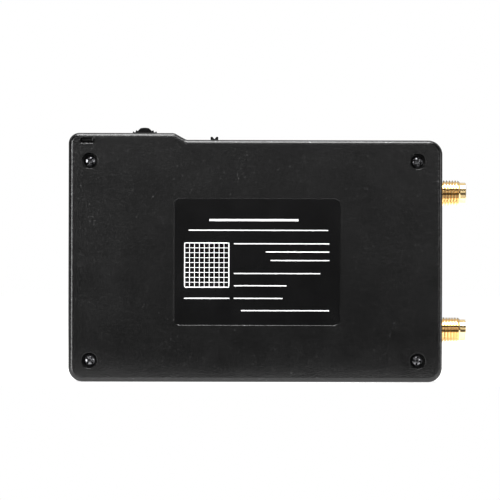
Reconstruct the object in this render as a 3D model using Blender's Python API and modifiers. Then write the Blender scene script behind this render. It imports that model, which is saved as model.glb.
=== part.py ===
"""Handheld antenna analyzer: a two-part moulded housing round a circuit board with two gold coaxial
ports, a jog lever, a slide switch, a charging socket, a touch display and a flat battery.

Frame: metres, +Z up. The case stands on its long bottom edge, its back faces -Y, its screen faces +Y
and its ports point along +X. The origin is at the bottom centre of the box round the whole object.
"""

import math

import bmesh
import bpy
from mathutils import Matrix, Vector

MM = 0.001

# Fits shared by all pieces
SEAT_GAP = 0.15 * MM
RUNNING_GAP = 0.2 * MM
WALL_GAP = 0.3 * MM
OVERRUN = 1.0 * MM
WELD_DISTANCE = 0.001 * MM
ARC_STEP = math.radians(15)
FLAT_ANGLE = math.radians(0.5)
SHARP_ANGLE = math.radians(35)
RIM_ANGLE = math.radians(60)
ROUND_SIDES = 32
SMALL_SIDES = 16
FILLET_SEGMENTS = 3

# Housing
CASE_WIDTH = 91.8 * MM
CASE_HEIGHT = 59.4 * MM
CASE_DEPTH = 16.0 * MM
SIDE_WALL = 1.8 * MM
BACK_WALL = 1.8 * MM
FRONT_WALL = 1.6 * MM
EDGE_FILLET = 1.0 * MM
CORNER_RADIUS = 3.5 * MM
SHOULDER_CORNER_RADIUS = 2.6 * MM
SHOULDER_LENGTH = 25.9 * MM
SHOULDER_RISE = 1.65 * MM
SLOPE_RUN = 3.0 * MM
SEAM_GAP = 0.3 * MM
LIP_THICKNESS = 0.8 * MM
LIP_RISE = 1.0 * MM
PIP_FROM_LEFT = 30.7 * MM
PIP_WIDTH = 1.2 * MM
PIP_HEIGHT = 0.2 * MM
PIP_FROM_SEAM = 1.0 * MM

# Case screws with their posts and bosses
SCREW_FROM_LEFT = 5.2 * MM
SCREW_FROM_RIGHT = 6.1 * MM
SCREW_FROM_EDGE = 5.2 * MM
SCREW_CORE = 1.7 * MM
SCREW_HEAD = 3.0 * MM
SCREW_HEAD_HEIGHT = 1.2 * MM
SCREW_TO_FRONT_WALL = 1.25 * MM
SCREW_POINT = 0.6 * MM
RECESS_DEPTH = 0.7 * MM
RECESS_ARM = 1.7 * MM
RECESS_SLOT = 0.45 * MM
COUNTERBORE = 3.9 * MM
COUNTERBORE_DEPTH = 3.3 * MM
SCREW_HOLE = 2.3 * MM
POST_HEAD_DIAMETER = 7.2 * MM
POST_FLOOR = 1.0 * MM
POST_DIAMETER = 5.0 * MM
BOSS_DIAMETER = 5.8 * MM
PILOT_HOLE = 2.1 * MM
PILOT_TO_FRONT_WALL = 0.8 * MM

# Lanyard opening in the shoulder's corner
LANYARD_FROM_LEFT = 4.5 * MM
LANYARD_WIDTH = 3.4 * MM
LANYARD_SLOT = 1.37 * MM
LANYARD_BAR = 1.12 * MM
LANYARD_CORNER_RADIUS = 0.6 * MM
LANYARD_DEPTH = 3.4 * MM
LANYARD_WALL = 0.9 * MM

# Label
LABEL_FROM_LEFT = 25.9 * MM
LABEL_FROM_BOTTOM = 14.0 * MM
LABEL_WIDTH = 40.7 * MM
LABEL_HEIGHT = 30.9 * MM
LABEL_THICKNESS = 0.2 * MM
LABEL_CORNER_RADIUS = 1.6 * MM
LABEL_SUNK = 0.05 * MM

# Circuit board
BOARD_THICKNESS = 1.6 * MM
BOARD_HOLE_INSET = 2.5 * MM
BOARD_CORNER_RADIUS = 1.0 * MM

# Display, counted from the front wall's inner face
WINDOW_SIDE_BORDER = 5.3 * MM
WINDOW_END_BORDER = 2.9 * MM
WINDOW_CORNER_RADIUS = 0.8 * MM
WINDOW_CHAMFER = 0.8 * MM
GASKET_THICKNESS = 0.3 * MM
GASKET_WIDTH = 2.6 * MM
TOUCH_THICKNESS = 0.9 * MM
DISPLAY_FROM_LEFT = 8.6 * MM
DISPLAY_FROM_RIGHT = 14.0 * MM
DISPLAY_FROM_EDGE = 4.7 * MM
DISPLAY_TO_BOARD = 0.5 * MM
DISPLAY_TRAY_WALL = 0.4 * MM
FENCE_WALL = 0.9 * MM
FENCE_TO_BOARD = 1.25 * MM
FLEX_WIDTH = 16.0 * MM
FLEX_THICKNESS = 0.12 * MM
FLEX_TAIL = 6.0 * MM

# Antenna ports
PORT_REACH = 6.2 * MM
PORT_FROM_EDGE = 12.75 * MM
PORT_THREAD = 6.35 * MM
PORT_LEAD = 5.25 * MM
PORT_LEAD_LENGTH = 1.3 * MM
PORT_CHAMFER = 0.15 * MM
PORT_THREAD_CHAMFER = 0.5 * MM
PORT_BORE = 4.6 * MM
PORT_FACE_DEPTH = 1.9 * MM
PORT_HOLE_GAP = 0.25 * MM
PORT_FLANGE = 6.35 * MM
PORT_FLANGE_THICKNESS = 1.4 * MM
PORT_PRONG = 1.0 * MM
PORT_PRONG_LENGTH = 4.0 * MM
INSULATOR_DIAMETER = 4.2 * MM
CONTACT_DIAMETER = 1.27 * MM
CONTACT_BORE = 0.92 * MM
CONTACT_BORE_DEPTH = 2.6 * MM
CONTACT_TAIL = 0.8 * MM
CONTACT_TAIL_LENGTH = 3.0 * MM

# Charging socket
USB_FROM_LEFT = 57.0 * MM
USB_WIDTH = 8.94 * MM
USB_HEIGHT = 3.26 * MM
USB_LENGTH = 7.3 * MM
USB_WALL = 0.3 * MM
USB_INSET = 0.4 * MM
USB_CORNER_RADIUS = 1.2 * MM
USB_TONGUE_WIDTH = 6.7 * MM
USB_TONGUE_THICKNESS = 0.7 * MM
USB_TONGUE_INSET = 0.9 * MM

# Slide switch
SLIDE_FROM_LEFT = 35.75 * MM
SLIDE_TRAVEL = 2.0 * MM
SLIDE_KNOB_WIDTH = 1.9 * MM
SLIDE_KNOB_DEPTH = 1.5 * MM
SLIDE_KNOB_REACH = 1.0 * MM
SLIDE_NOTCH = 0.6 * MM
SLIDE_BODY_WIDTH = 8.6 * MM
SLIDE_BODY_DEPTH = 3.0 * MM
SLIDE_BODY_HEIGHT = 3.7 * MM
SLIDE_SHEET = 0.3 * MM
SLIDE_BASE_THICKNESS = 0.8 * MM
SLIDE_BLOCK_WIDTH = 3.0 * MM
SLIDE_BLOCK_HEIGHT = 1.4 * MM
SLIDE_CONTACT_THICKNESS = 0.25 * MM
SLIDE_SLOT_GAP = 0.35 * MM
SLIDE_FORWARD = 0.3 * MM

# Jog lever switch
JOG_FROM_LEFT = 18.55 * MM
JOG_BODY_WIDTH = 11.6 * MM
JOG_BODY_HEIGHT = 7.4 * MM
JOG_FORWARD = 0.5 * MM
JOG_FLOOR = 0.4 * MM
JOG_CHEEK = 0.5 * MM
JOG_KNOB_DEPTH = 2.0 * MM
JOG_COVER_SHEET = 0.2 * MM
JOG_REAR_WALL = 0.8 * MM
JOG_PRESS = 0.4 * MM
JOG_PIVOT_LIFT = 0.65 * MM
JOG_TILT = math.radians(12)
JOG_KNOB_RADIUS = 4.65 * MM
JOG_KNOB_RIB = 0.45 * MM
JOG_KNOB_CROWN = 0.05 * MM
JOG_KNOB_HALF_FAN = math.radians(43)
JOG_CREST_HALF = math.radians(12.9)
JOG_CREST_FOOT = math.radians(20.5)
JOG_RIB_ANGLES = (math.radians(27), math.radians(38.5))
JOG_RIB_HALF = math.radians(2.2)
JOG_RIB_ROOT = math.radians(4.6)
JOG_HUB_RADIUS = 1.5 * MM
JOG_LUG_WIDTH = 0.7 * MM
JOG_LUG_REACH = 2.0 * MM
JOG_PIN = 0.8 * MM
JOG_CARRIER_WIDTH = 6.0 * MM
JOG_SHOULDER = 0.7 * MM
JOG_CHEEK_RADIUS = 1.2 * MM
JOG_CHEEK_CORNER = 1.1 * MM
JOG_FORK_DEPTH = 3.05 * MM
JOG_SPRING_WIRE = 0.3 * MM
JOG_SPRING_SPAN = 2.1 * MM
JOG_SPRING_LEG = 1.1 * MM
JOG_DOME_DIAMETER = 3.0 * MM
JOG_DOME_THICKNESS = 0.25 * MM
JOG_DOME_RISE = 0.25 * MM

# Battery
BATTERY_FROM_LEFT = 8.0 * MM
BATTERY_FROM_BOTTOM = 11.0 * MM
BATTERY_FROM_TOP = 18.4 * MM
BATTERY_TO_CHIPS = 1.85 * MM
BATTERY_TO_BACK_WALL = 1.65 * MM
BATTERY_EDGE = 1.2 * MM
BATTERY_GUARD_HEIGHT = 3.6 * MM
BATTERY_GUARD_INSET = 1.1 * MM
BATTERY_GUARD_EDGE = 0.4 * MM
BATTERY_PAD_THICKNESS = 0.9 * MM
BATTERY_PAD_INSET = 5.0 * MM
BATTERY_FENCE_WALL = 1.0 * MM
BATTERY_FENCE_RISE = 2.4 * MM
LEAD_DIAMETER = 1.1 * MM
LEAD_PITCH = 1.8 * MM
PLUG_WIDTH = 4.4 * MM
PLUG_LENGTH = 3.6 * MM
PLUG_HEIGHT = 2.4 * MM
HEADER_WALL = 0.5 * MM
HEADER_SHARE = 0.69
HEADER_FROM_TOP = 13.0 * MM
HEADER_LENGTH = 4.6 * MM

# Shield lids and chips on the back of the board
SHIELD_FROM_RIGHT = 12.4 * MM
SHIELD_FROM_EDGE = 8.4 * MM
SHIELD_WIDTH = 24.0 * MM
SHIELD_SPACING = 2.6 * MM
SHIELD_DEPTH = 2.6 * MM
SHIELD_WALL = 0.3 * MM
SHIELD_EDGE = 0.25 * MM
CHIP_EDGE = 0.12 * MM
MIXER_SIZE = 5.0 * MM
MIXER_HEIGHT = 1.6 * MM
MIXER_SPACING = 9.0 * MM
PROCESSOR_SIZE = 7.0 * MM
PROCESSOR_HEIGHT = 1.4 * MM
CODEC_SIZE = 5.0 * MM
CODEC_HEIGHT = 0.9 * MM
CLOCK_SIZE = 3.0 * MM
CLOCK_HEIGHT = 1.0 * MM
CRYSTAL_WIDTH = 3.2 * MM
CRYSTAL_LENGTH = 2.5 * MM
CRYSTAL_HEIGHT = 0.9 * MM
CHARGER_SIZE = 3.0 * MM
CHARGER_HEIGHT = 1.1 * MM
INDUCTOR_SIZE = 4.0 * MM
INDUCTOR_HEIGHT = 1.9 * MM
INDUCTOR_EDGE = 0.5 * MM
CHIPS_TO_SHIELD = 0.55 * MM
CODEC_FROM_BOTTOM = 16.0 * MM
PROCESSOR_FROM_BOTTOM = 26.0 * MM
CLOCK_FROM_BOTTOM = 34.5 * MM
CRYSTAL_FROM_BOTTOM = 39.0 * MM
POWER_ROW_FROM_TOP = 13.4 * MM
CHARGER_TO_HEADER = 10.6 * MM
INDUCTOR_TO_CHARGER = 6.0 * MM


def around(middle, size):
    """The span of a size centred on a place."""
    return (middle - size / 2, middle + size / 2)


def widened(span, gap):
    """A span with a gap added at both ends."""
    return (span[0] - gap, span[1] + gap)


# Places that follow from the sizes
CASE_LEFT = -(CASE_WIDTH + PORT_REACH) / 2
CASE_RIGHT = CASE_LEFT + CASE_WIDTH
CASE_BACK = -CASE_DEPTH / 2
CASE_FRONT = CASE_DEPTH / 2
INNER_BACK = CASE_BACK + BACK_WALL
INNER_FRONT = CASE_FRONT - FRONT_WALL
INNER_TOP = CASE_HEIGHT - SIDE_WALL
SHOULDER_TOP = CASE_HEIGHT + SHOULDER_RISE
SLOPE_ANGLE = math.atan2(SHOULDER_RISE, SLOPE_RUN)

BOARD_BACK = CONTACT_TAIL / 2 + SEAT_GAP
BOARD_FRONT = BOARD_BACK + BOARD_THICKNESS
BOARD_LEFT = CASE_LEFT + SCREW_FROM_LEFT - BOARD_HOLE_INSET
BOARD_RIGHT = CASE_RIGHT - SCREW_FROM_RIGHT + BOARD_HOLE_INSET
BOARD_BOTTOM = SCREW_FROM_EDGE - BOARD_HOLE_INSET
BOARD_TOP = CASE_HEIGHT - SCREW_FROM_EDGE + BOARD_HOLE_INSET
MOUNTED = BOARD_BACK - SEAT_GAP

SCREW_PLACES = [
    (CASE_LEFT + SCREW_FROM_LEFT, CASE_HEIGHT - SCREW_FROM_EDGE),
    (CASE_RIGHT - SCREW_FROM_RIGHT, CASE_HEIGHT - SCREW_FROM_EDGE),
    (CASE_LEFT + SCREW_FROM_LEFT, SCREW_FROM_EDGE),
    (CASE_RIGHT - SCREW_FROM_RIGHT, SCREW_FROM_EDGE),
]
PORT_HEIGHTS = (CASE_HEIGHT - PORT_FROM_EDGE, PORT_FROM_EDGE)

JOG_X = CASE_LEFT + JOG_FROM_LEFT
JOG_FLOOR_FACE = MOUNTED - JOG_FLOOR
JOG_KNOB_FRONT = JOG_FLOOR_FACE - JOG_CHEEK - 2 * RUNNING_GAP
JOG_KNOB_BACK = JOG_KNOB_FRONT - JOG_KNOB_DEPTH
JOG_FRONT_EDGE = BOARD_TOP + JOG_FORWARD
JOG_PIVOT = Vector((JOG_X, (JOG_KNOB_FRONT + JOG_KNOB_BACK) / 2, JOG_FRONT_EDGE + JOG_PIVOT_LIFT))
JOG_SLOT_HALF = JOG_KNOB_RADIUS * math.sin(JOG_KNOB_HALF_FAN + JOG_TILT) + WALL_GAP

SLIDE_X = CASE_LEFT + SLIDE_FROM_LEFT
SLIDE_KNOB_Y = MOUNTED - SLIDE_BODY_DEPTH / 2
SLIDE_SLOT_LOW = SLIDE_X - SLIDE_KNOB_WIDTH / 2 - SLIDE_SLOT_GAP
SLIDE_SLOT_HIGH = SLIDE_X + SLIDE_TRAVEL + SLIDE_KNOB_WIDTH / 2 + SLIDE_SLOT_GAP

USB_X = CASE_LEFT + USB_FROM_LEFT
USB_Y = MOUNTED - USB_HEIGHT / 2
USB_MOUTH = CASE_HEIGHT - USB_INSET

LANYARD_X = CASE_LEFT + LANYARD_FROM_LEFT
LANYARD_Z = (SHOULDER_TOP - LANYARD_BAR - LANYARD_SLOT, SHOULDER_TOP - LANYARD_BAR)
LANYARD_END = CASE_BACK + LANYARD_DEPTH

LABEL_X = (CASE_LEFT + LABEL_FROM_LEFT, CASE_LEFT + LABEL_FROM_LEFT + LABEL_WIDTH)
LABEL_Z = (LABEL_FROM_BOTTOM, LABEL_FROM_BOTTOM + LABEL_HEIGHT)
LABEL_OUTER = CASE_BACK + LABEL_SUNK
LABEL_FLOOR = LABEL_OUTER + LABEL_THICKNESS + SEAT_GAP

DISPLAY_X = (CASE_LEFT + DISPLAY_FROM_LEFT, CASE_RIGHT - DISPLAY_FROM_RIGHT)
DISPLAY_Z = (DISPLAY_FROM_EDGE, CASE_HEIGHT - DISPLAY_FROM_EDGE)
DISPLAY_MIDDLE = (sum(DISPLAY_X) / 2, sum(DISPLAY_Z) / 2)
WINDOW_X = (DISPLAY_X[0] + WINDOW_SIDE_BORDER, DISPLAY_X[1] - WINDOW_SIDE_BORDER)
WINDOW_Z = (DISPLAY_Z[0] + WINDOW_END_BORDER, DISPLAY_Z[1] - WINDOW_END_BORDER)
TOUCH_FRONT = INNER_FRONT - GASKET_THICKNESS - 2 * SEAT_GAP
TRAY_FRONT = TOUCH_FRONT - TOUCH_THICKNESS - SEAT_GAP
TRAY_BACK = BOARD_FRONT + DISPLAY_TO_BOARD
PANEL_INSET = DISPLAY_TRAY_WALL + SEAT_GAP

SHIELD_X = (CASE_RIGHT - SHIELD_FROM_RIGHT - SHIELD_WIDTH, CASE_RIGHT - SHIELD_FROM_RIGHT)
SHIELD_Z = [
    (CASE_HEIGHT / 2 + SHIELD_SPACING / 2, CASE_HEIGHT - SHIELD_FROM_EDGE),
    (SHIELD_FROM_EDGE, CASE_HEIGHT / 2 - SHIELD_SPACING / 2),
]
CHIP_COLUMN = SHIELD_X[0] - CHIPS_TO_SHIELD - PROCESSOR_SIZE / 2
CHIPS_LEFT = CHIP_COLUMN - PROCESSOR_SIZE / 2
JOG_RIGHT = JOG_X + JOG_BODY_WIDTH / 2
PLUG_X = JOG_RIGHT + (CHIPS_LEFT - JOG_RIGHT) * HEADER_SHARE
CHARGER_X = PLUG_X - CHARGER_TO_HEADER

BATTERY_X = (CASE_LEFT + BATTERY_FROM_LEFT, CHIPS_LEFT - BATTERY_TO_CHIPS)
BATTERY_Z = (BATTERY_FROM_BOTTOM, CASE_HEIGHT - BATTERY_FROM_TOP)
BATTERY_FRONT = BOARD_BACK - WALL_GAP
BATTERY_BACK = INNER_BACK + BATTERY_TO_BACK_WALL

# Rotations that turn a shape's own Z to a world axis, with its own X and Y in world order
TURNS = {
    "X": Matrix(((0, 0, 1), (1, 0, 0), (0, 1, 0))).to_euler(),
    "Y": Matrix(((1, 0, 0), (0, 0, -1), (0, 1, 0))).to_euler(),
    "Z": Matrix.Identity(3).to_euler(),
}


def clear_scene():
    """Remove what a new file holds."""
    for thing in list(bpy.data.objects):
        bpy.data.objects.remove(thing)


def new_group(name):
    """A collection in the scene."""
    group = bpy.data.collections.new(name)
    bpy.context.scene.collection.children.link(group)
    return group


clear_scene()
PARTS = new_group("antenna_analyzer")
CUTTERS = new_group("cutters")


def finish(piece, color, roughness, metallic=0.0):
    """Give a sub-part its own material and return it."""
    material = bpy.data.materials.new(piece.name + "_finish")
    material.use_nodes = True
    shader = material.node_tree.nodes["Principled BSDF"]
    shader.inputs["Base Color"].default_value = (*color, 1.0)
    shader.inputs["Roughness"].default_value = roughness
    shader.inputs["Metallic"].default_value = metallic
    piece.data.materials.clear()
    piece.data.materials.append(material)
    return piece


def placed(name, data, group):
    """An object in its collection; cutters are wires that never render."""
    piece = bpy.data.objects.new(name, data)
    group.objects.link(piece)
    if group is CUTTERS:
        piece.hide_render = True
        piece.display_type = "WIRE"
    return piece


def mesh_piece(name, shape, group):
    """An object from a bmesh, shaded smooth but for its sharp edges."""
    mesh = bpy.data.meshes.new(name)
    shape.to_mesh(mesh)
    shape.free()
    mesh.shade_smooth()
    mesh.set_sharp_from_angle(angle=SHARP_ANGLE)
    return placed(name, mesh, group)


def block(name, x_span, y_span, z_span, group=PARTS):
    """A box between three spans."""
    spans = (x_span, y_span, z_span)
    shape = bmesh.new()
    bmesh.ops.create_cube(shape, size=1)
    bmesh.ops.scale(shape, vec=[high - low for low, high in spans], verts=shape.verts)
    piece = mesh_piece(name, shape, group)
    piece.location = [(low + high) / 2 for low, high in spans]
    return piece


def rod(name, axis, middle, span, radius, group=PARTS, end_radius=None, sides=ROUND_SIDES):
    """A cylinder or cone along an axis, centred on the two other coordinates."""
    low, high = span
    shape = bmesh.new()
    bmesh.ops.create_cone(
        shape,
        cap_ends=True,
        segments=sides,
        radius1=radius,
        radius2=radius if end_radius is None else end_radius,
        depth=high - low,
    )
    piece = mesh_piece(name, shape, group)
    piece.rotation_euler = TURNS[axis]
    place = list(middle)
    place.insert("XYZ".index(axis), (low + high) / 2)
    piece.location = place
    return piece


def rounded_path(corners):
    """The points of an outline through corners (across, up, radius), each corner an arc."""
    points = []
    for index, (across, up, radius) in enumerate(corners):
        here = Vector((across, up))
        if radius == 0:
            points.append(here)
            continue
        back = (Vector(corners[index - 1][:2]) - here).normalized()
        ahead = (Vector(corners[(index + 1) % len(corners)][:2]) - here).normalized()
        opening = back.angle(ahead)
        middle = here + (back + ahead).normalized() * radius / math.sin(opening / 2)
        spoke = here + back * radius / math.tan(opening / 2) - middle
        turn = math.copysign(math.pi - opening, back.yx.dot(Vector((ahead.x, -ahead.y))))
        steps = max(1, math.ceil(abs(turn) / ARC_STEP - FLAT_ANGLE))
        for step in range(steps + 1):
            points.append(middle + Matrix.Rotation(turn * step / steps, 2) @ spoke)
    return points


def rectangle(x_span, y_span, radius=0.0):
    """The outline of a rectangle with round corners."""
    (left, right), (low, high) = x_span, y_span
    corners = [(left, low), (right, low), (right, high), (left, high)]
    return rounded_path([(x, y, radius) for x, y in corners])


def circle(middle, radius, sides=ROUND_SIDES):
    """The outline of a circle."""
    angles = [2 * math.pi * step / sides for step in range(sides)]
    return [
        (middle[0] + radius * math.cos(angle), middle[1] + radius * math.sin(angle))
        for angle in angles
    ]


def mesh_from_curve(guide, name, group):
    """Turn a curve object into a welded mesh in its place and remove the curve."""
    bpy.context.view_layer.update()
    graph = bpy.context.evaluated_depsgraph_get()
    mesh = bpy.data.meshes.new_from_object(guide.evaluated_get(graph))
    shape = bmesh.new()
    shape.from_mesh(mesh)
    bpy.data.meshes.remove(mesh)
    bmesh.ops.remove_doubles(shape, verts=shape.verts, dist=WELD_DISTANCE)
    bmesh.ops.dissolve_limit(
        shape, angle_limit=FLAT_ANGLE, verts=shape.verts, edges=shape.edges
    )
    bmesh.ops.recalc_face_normals(shape, faces=shape.faces)
    piece = mesh_piece(name, shape, group)
    piece.matrix_world = guide.matrix_world.copy()
    outline = guide.data
    bpy.data.objects.remove(guide)
    bpy.data.curves.remove(outline)
    return piece


def slab(name, axis, span, outlines, group=PARTS):
    """A flat outline with any holes, given its thickness along an axis."""
    low, high = span
    flat = bpy.data.curves.new(name, "CURVE")
    flat.dimensions = "2D"
    flat.fill_mode = "BOTH"
    flat.extrude = (high - low) / 2
    for outline in outlines:
        spline = flat.splines.new("POLY")
        spline.points.add(len(outline) - 1)
        for point, (across, up) in zip(spline.points, outline):
            point.co = (across, up, 0, 1)
        spline.use_cyclic_u = True
    guide = placed(name + "_outline", flat, group)
    guide.rotation_euler = TURNS[axis]
    guide.location["XYZ".index(axis)] = (low + high) / 2
    return mesh_from_curve(guide, name, group)


def wire(name, points, diameter):
    """A round wire through points, with closed ends."""
    path = bpy.data.curves.new(name, "CURVE")
    path.dimensions = "3D"
    path.bevel_depth = diameter / 2
    path.bevel_resolution = 2
    path.use_fill_caps = True
    spline = path.splines.new("POLY")
    spline.points.add(len(points) - 1)
    for point, place in zip(spline.points, points):
        point.co = (*place, 1)
    return mesh_from_curve(placed(name + "_path", path, PARTS), name, PARTS)


def turned(name, axis, middle, profile, group=PARTS):
    """A turned solid: a profile (radius, along) from the top down, closed on its axis."""
    shape = bmesh.new()
    rim = [shape.verts.new((radius, 0, along)) for radius, along in profile]
    for start, end in zip(rim, rim[1:]):
        shape.edges.new((start, end))
    piece = mesh_piece(name, shape, group)
    screw = piece.modifiers.new("turn", "SCREW")
    screw.axis = "Z"
    screw.steps = ROUND_SIDES
    screw.render_steps = ROUND_SIDES
    screw.use_merge_vertices = True
    screw.merge_threshold = WELD_DISTANCE
    piece.rotation_euler = TURNS[axis]
    place = list(middle)
    place.insert("XYZ".index(axis), 0)
    piece.location = place
    return piece


def round_rims(piece, width, segments=FILLET_SEGMENTS):
    """Round a piece's square edges."""
    bevel = piece.modifiers.new("rounded_rims", "BEVEL")
    bevel.limit_method = "ANGLE"
    bevel.angle_limit = RIM_ANGLE
    bevel.width = width
    bevel.segments = segments
    return piece


def combine(piece, tools, operation):
    """Add exact Boolean steps with one or more tools."""
    for tool in tools:
        step = piece.modifiers.new(tool.name, "BOOLEAN")
        step.operation = operation
        step.solver = "EXACT"
        step.object = tool
    return piece


def cut(piece, *tools):
    """Take tools away from a piece."""
    return combine(piece, tools, "DIFFERENCE")


def join(piece, *tools):
    """Add tools to a piece."""
    return combine(piece, tools, "UNION")


def carry(carrier, *pieces):
    """Hang pieces on an empty that stands on their joint's axis."""
    bpy.context.view_layer.update()
    for piece in pieces:
        piece.location = piece.location - carrier.matrix_world.translation
        piece.parent = carrier


def joint_marker(name, place, parent=None):
    """An empty on a joint's axis."""
    marker = bpy.data.objects.new(name, None)
    PARTS.objects.link(marker)
    marker.location = place
    if parent is not None:
        carry(parent, marker)
    return marker


def case_outline(inset):
    """The case seen from its back, with the raised shoulder over the jog lever, drawn in by an inset."""
    lean = inset * math.tan(SLOPE_ANGLE / 2)
    left, right = CASE_LEFT + inset, CASE_RIGHT - inset
    head = CASE_LEFT + SHOULDER_LENGTH - lean
    corner = CORNER_RADIUS - inset
    return rounded_path(
        [
            (left, inset, corner),
            (right, inset, corner),
            (right, CASE_HEIGHT - inset, corner),
            (head + SLOPE_RUN, CASE_HEIGHT - inset, 0),
            (head, SHOULDER_TOP - inset, 0),
            (left, SHOULDER_TOP - inset, SHOULDER_CORNER_RADIUS - inset),
        ]
    )


def case_half(name, other_half):
    """The solid outer body with round rims, less the half that the other shell makes."""
    shell = slab(name, "Y", (CASE_BACK, CASE_FRONT), [case_outline(0.0)])
    round_rims(shell, EDGE_FILLET)
    away = block(
        name + "_other_half",
        (CASE_LEFT - OVERRUN, CASE_RIGHT + OVERRUN),
        other_half,
        (-OVERRUN, SHOULDER_TOP + OVERRUN),
        CUTTERS,
    )
    return cut(shell, away)


def case_hollow(name):
    """The room inside both shells."""
    return slab(
        name + "_hollow", "Y", (INNER_BACK, INNER_FRONT), [case_outline(SIDE_WALL)], CUTTERS
    )


def wall_openings(shell_name, jog_front, slide_front):
    """Cutters for the openings in the top wall and the port wall of one shell."""
    above = (INNER_TOP - OVERRUN, SHOULDER_TOP + OVERRUN)
    beside = (CASE_RIGHT - SIDE_WALL - OVERRUN, CASE_RIGHT + OVERRUN)
    jog_slot = block(
        shell_name + "_jog_slot",
        (JOG_X - JOG_SLOT_HALF, JOG_X + JOG_SLOT_HALF),
        (JOG_KNOB_BACK - WALL_GAP, jog_front),
        above,
        CUTTERS,
    )
    slide_slot = block(
        shell_name + "_slide_slot",
        (SLIDE_SLOT_LOW, SLIDE_SLOT_HIGH),
        (SLIDE_KNOB_Y - SLIDE_KNOB_DEPTH / 2 - WALL_GAP, slide_front),
        above,
        CUTTERS,
    )
    usb_hole = slab(
        shell_name + "_usb_hole",
        "Z",
        above,
        [
            rectangle(
                around(USB_X, USB_WIDTH + 2 * WALL_GAP),
                around(USB_Y, USB_HEIGHT + 2 * WALL_GAP),
                USB_CORNER_RADIUS + WALL_GAP,
            )
        ],
        CUTTERS,
    )
    port_holes = [
        rod(
            f"{shell_name}_port_hole_{number}",
            "X",
            (0, height),
            beside,
            PORT_THREAD / 2 + PORT_HOLE_GAP,
            CUTTERS,
        )
        for number, height in enumerate(PORT_HEIGHTS, 1)
    ]
    return [jog_slot, slide_slot, usb_hole, *port_holes]


def fence(name, x_span, y_span, z_span, wall):
    """A rectangular rib that stands round a space."""
    outer_x = (x_span[0] - wall, x_span[1] + wall)
    outer_z = (z_span[0] - wall, z_span[1] + wall)
    return slab(
        name, "Y", y_span, [rectangle(outer_x, outer_z), rectangle(x_span, z_span)], CUTTERS
    )


def back_cover():
    """The shell with the screw posts, the label recess, the battery fence and the lanyard opening."""
    cover = case_half("back_cover", (-SEAM_GAP / 2, CASE_FRONT + OVERRUN))
    rebate_inset = SIDE_WALL - LIP_THICKNESS - WALL_GAP
    lip_rebate = slab(
        "lip_rebate", "Y", (-LIP_RISE - WALL_GAP, OVERRUN), [case_outline(rebate_inset)], CUTTERS
    )
    cut(cover, lip_rebate, case_hollow("cover"))
    counterbore_floor = CASE_BACK + COUNTERBORE_DEPTH
    for number, place in enumerate(SCREW_PLACES, 1):
        root = INNER_BACK - BACK_WALL / 2
        shoulder = counterbore_floor + POST_FLOOR
        head_post = rod(
            f"post_head_{number}", "Y", place, (root, shoulder), POST_HEAD_DIAMETER / 2, CUTTERS
        )
        post = rod(f"post_{number}", "Y", place, (root, MOUNTED), POST_DIAMETER / 2, CUTTERS)
        join(cover, head_post, post)
    join(
        cover,
        fence(
            "battery_fence",
            widened(BATTERY_X, WALL_GAP),
            (INNER_BACK - BACK_WALL / 2, INNER_BACK + BATTERY_FENCE_RISE),
            widened(BATTERY_Z, WALL_GAP),
            BATTERY_FENCE_WALL,
        ),
        lanyard_housing(),
        block(
            "top_pip",
            around(CASE_LEFT + PIP_FROM_LEFT, PIP_WIDTH),
            (-PIP_FROM_SEAM - PIP_WIDTH, -PIP_FROM_SEAM),
            (CASE_HEIGHT - PIP_HEIGHT, CASE_HEIGHT + PIP_HEIGHT),
            CUTTERS,
        ),
    )
    for number, place in enumerate(SCREW_PLACES, 1):
        mouth = (CASE_BACK - OVERRUN, counterbore_floor)
        through = (CASE_BACK - OVERRUN, MOUNTED + OVERRUN)
        counterbore = rod(f"counterbore_{number}", "Y", place, mouth, COUNTERBORE / 2, CUTTERS)
        hole = rod(f"screw_hole_{number}", "Y", place, through, SCREW_HOLE / 2, CUTTERS)
        cut(cover, counterbore, hole)
    label_recess = slab(
        "label_recess",
        "Y",
        (CASE_BACK - OVERRUN, LABEL_FLOOR),
        [
            rectangle(
                widened(LABEL_X, SEAT_GAP), widened(LABEL_Z, SEAT_GAP), LABEL_CORNER_RADIUS + SEAT_GAP
            )
        ],
        CUTTERS,
    )
    cut(cover, label_recess, *lanyard_tunnel(), *wall_openings("cover", OVERRUN, OVERRUN))
    return finish(cover, (0.020, 0.020, 0.021), 0.55)


def lanyard_housing():
    """The block that keeps the lanyard opening apart from the hollow of the case."""
    return block(
        "lanyard_housing",
        (CASE_LEFT + SIDE_WALL / 2, LANYARD_X + LANYARD_WIDTH / 2 + LANYARD_WALL),
        (INNER_BACK - BACK_WALL / 2, LANYARD_END + LANYARD_WALL),
        (LANYARD_Z[0] - LANYARD_WALL, SHOULDER_TOP - SIDE_WALL / 2),
        CUTTERS,
    )


def lanyard_tunnel():
    """A slot in the back that meets a slot in the top, which leaves a bar in the corner."""
    across = around(LANYARD_X, LANYARD_WIDTH)
    from_back = slab(
        "lanyard_back_slot",
        "Y",
        (CASE_BACK - OVERRUN, LANYARD_END),
        [rectangle(across, LANYARD_Z, LANYARD_CORNER_RADIUS)],
        CUTTERS,
    )
    from_top = block(
        "lanyard_top_slot",
        widened(across, -SEAT_GAP),
        (LANYARD_END - LANYARD_SLOT, LANYARD_END - SEAT_GAP),
        (sum(LANYARD_Z) / 2, SHOULDER_TOP + OVERRUN),
        CUTTERS,
    )
    return [from_back, from_top]


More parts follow.
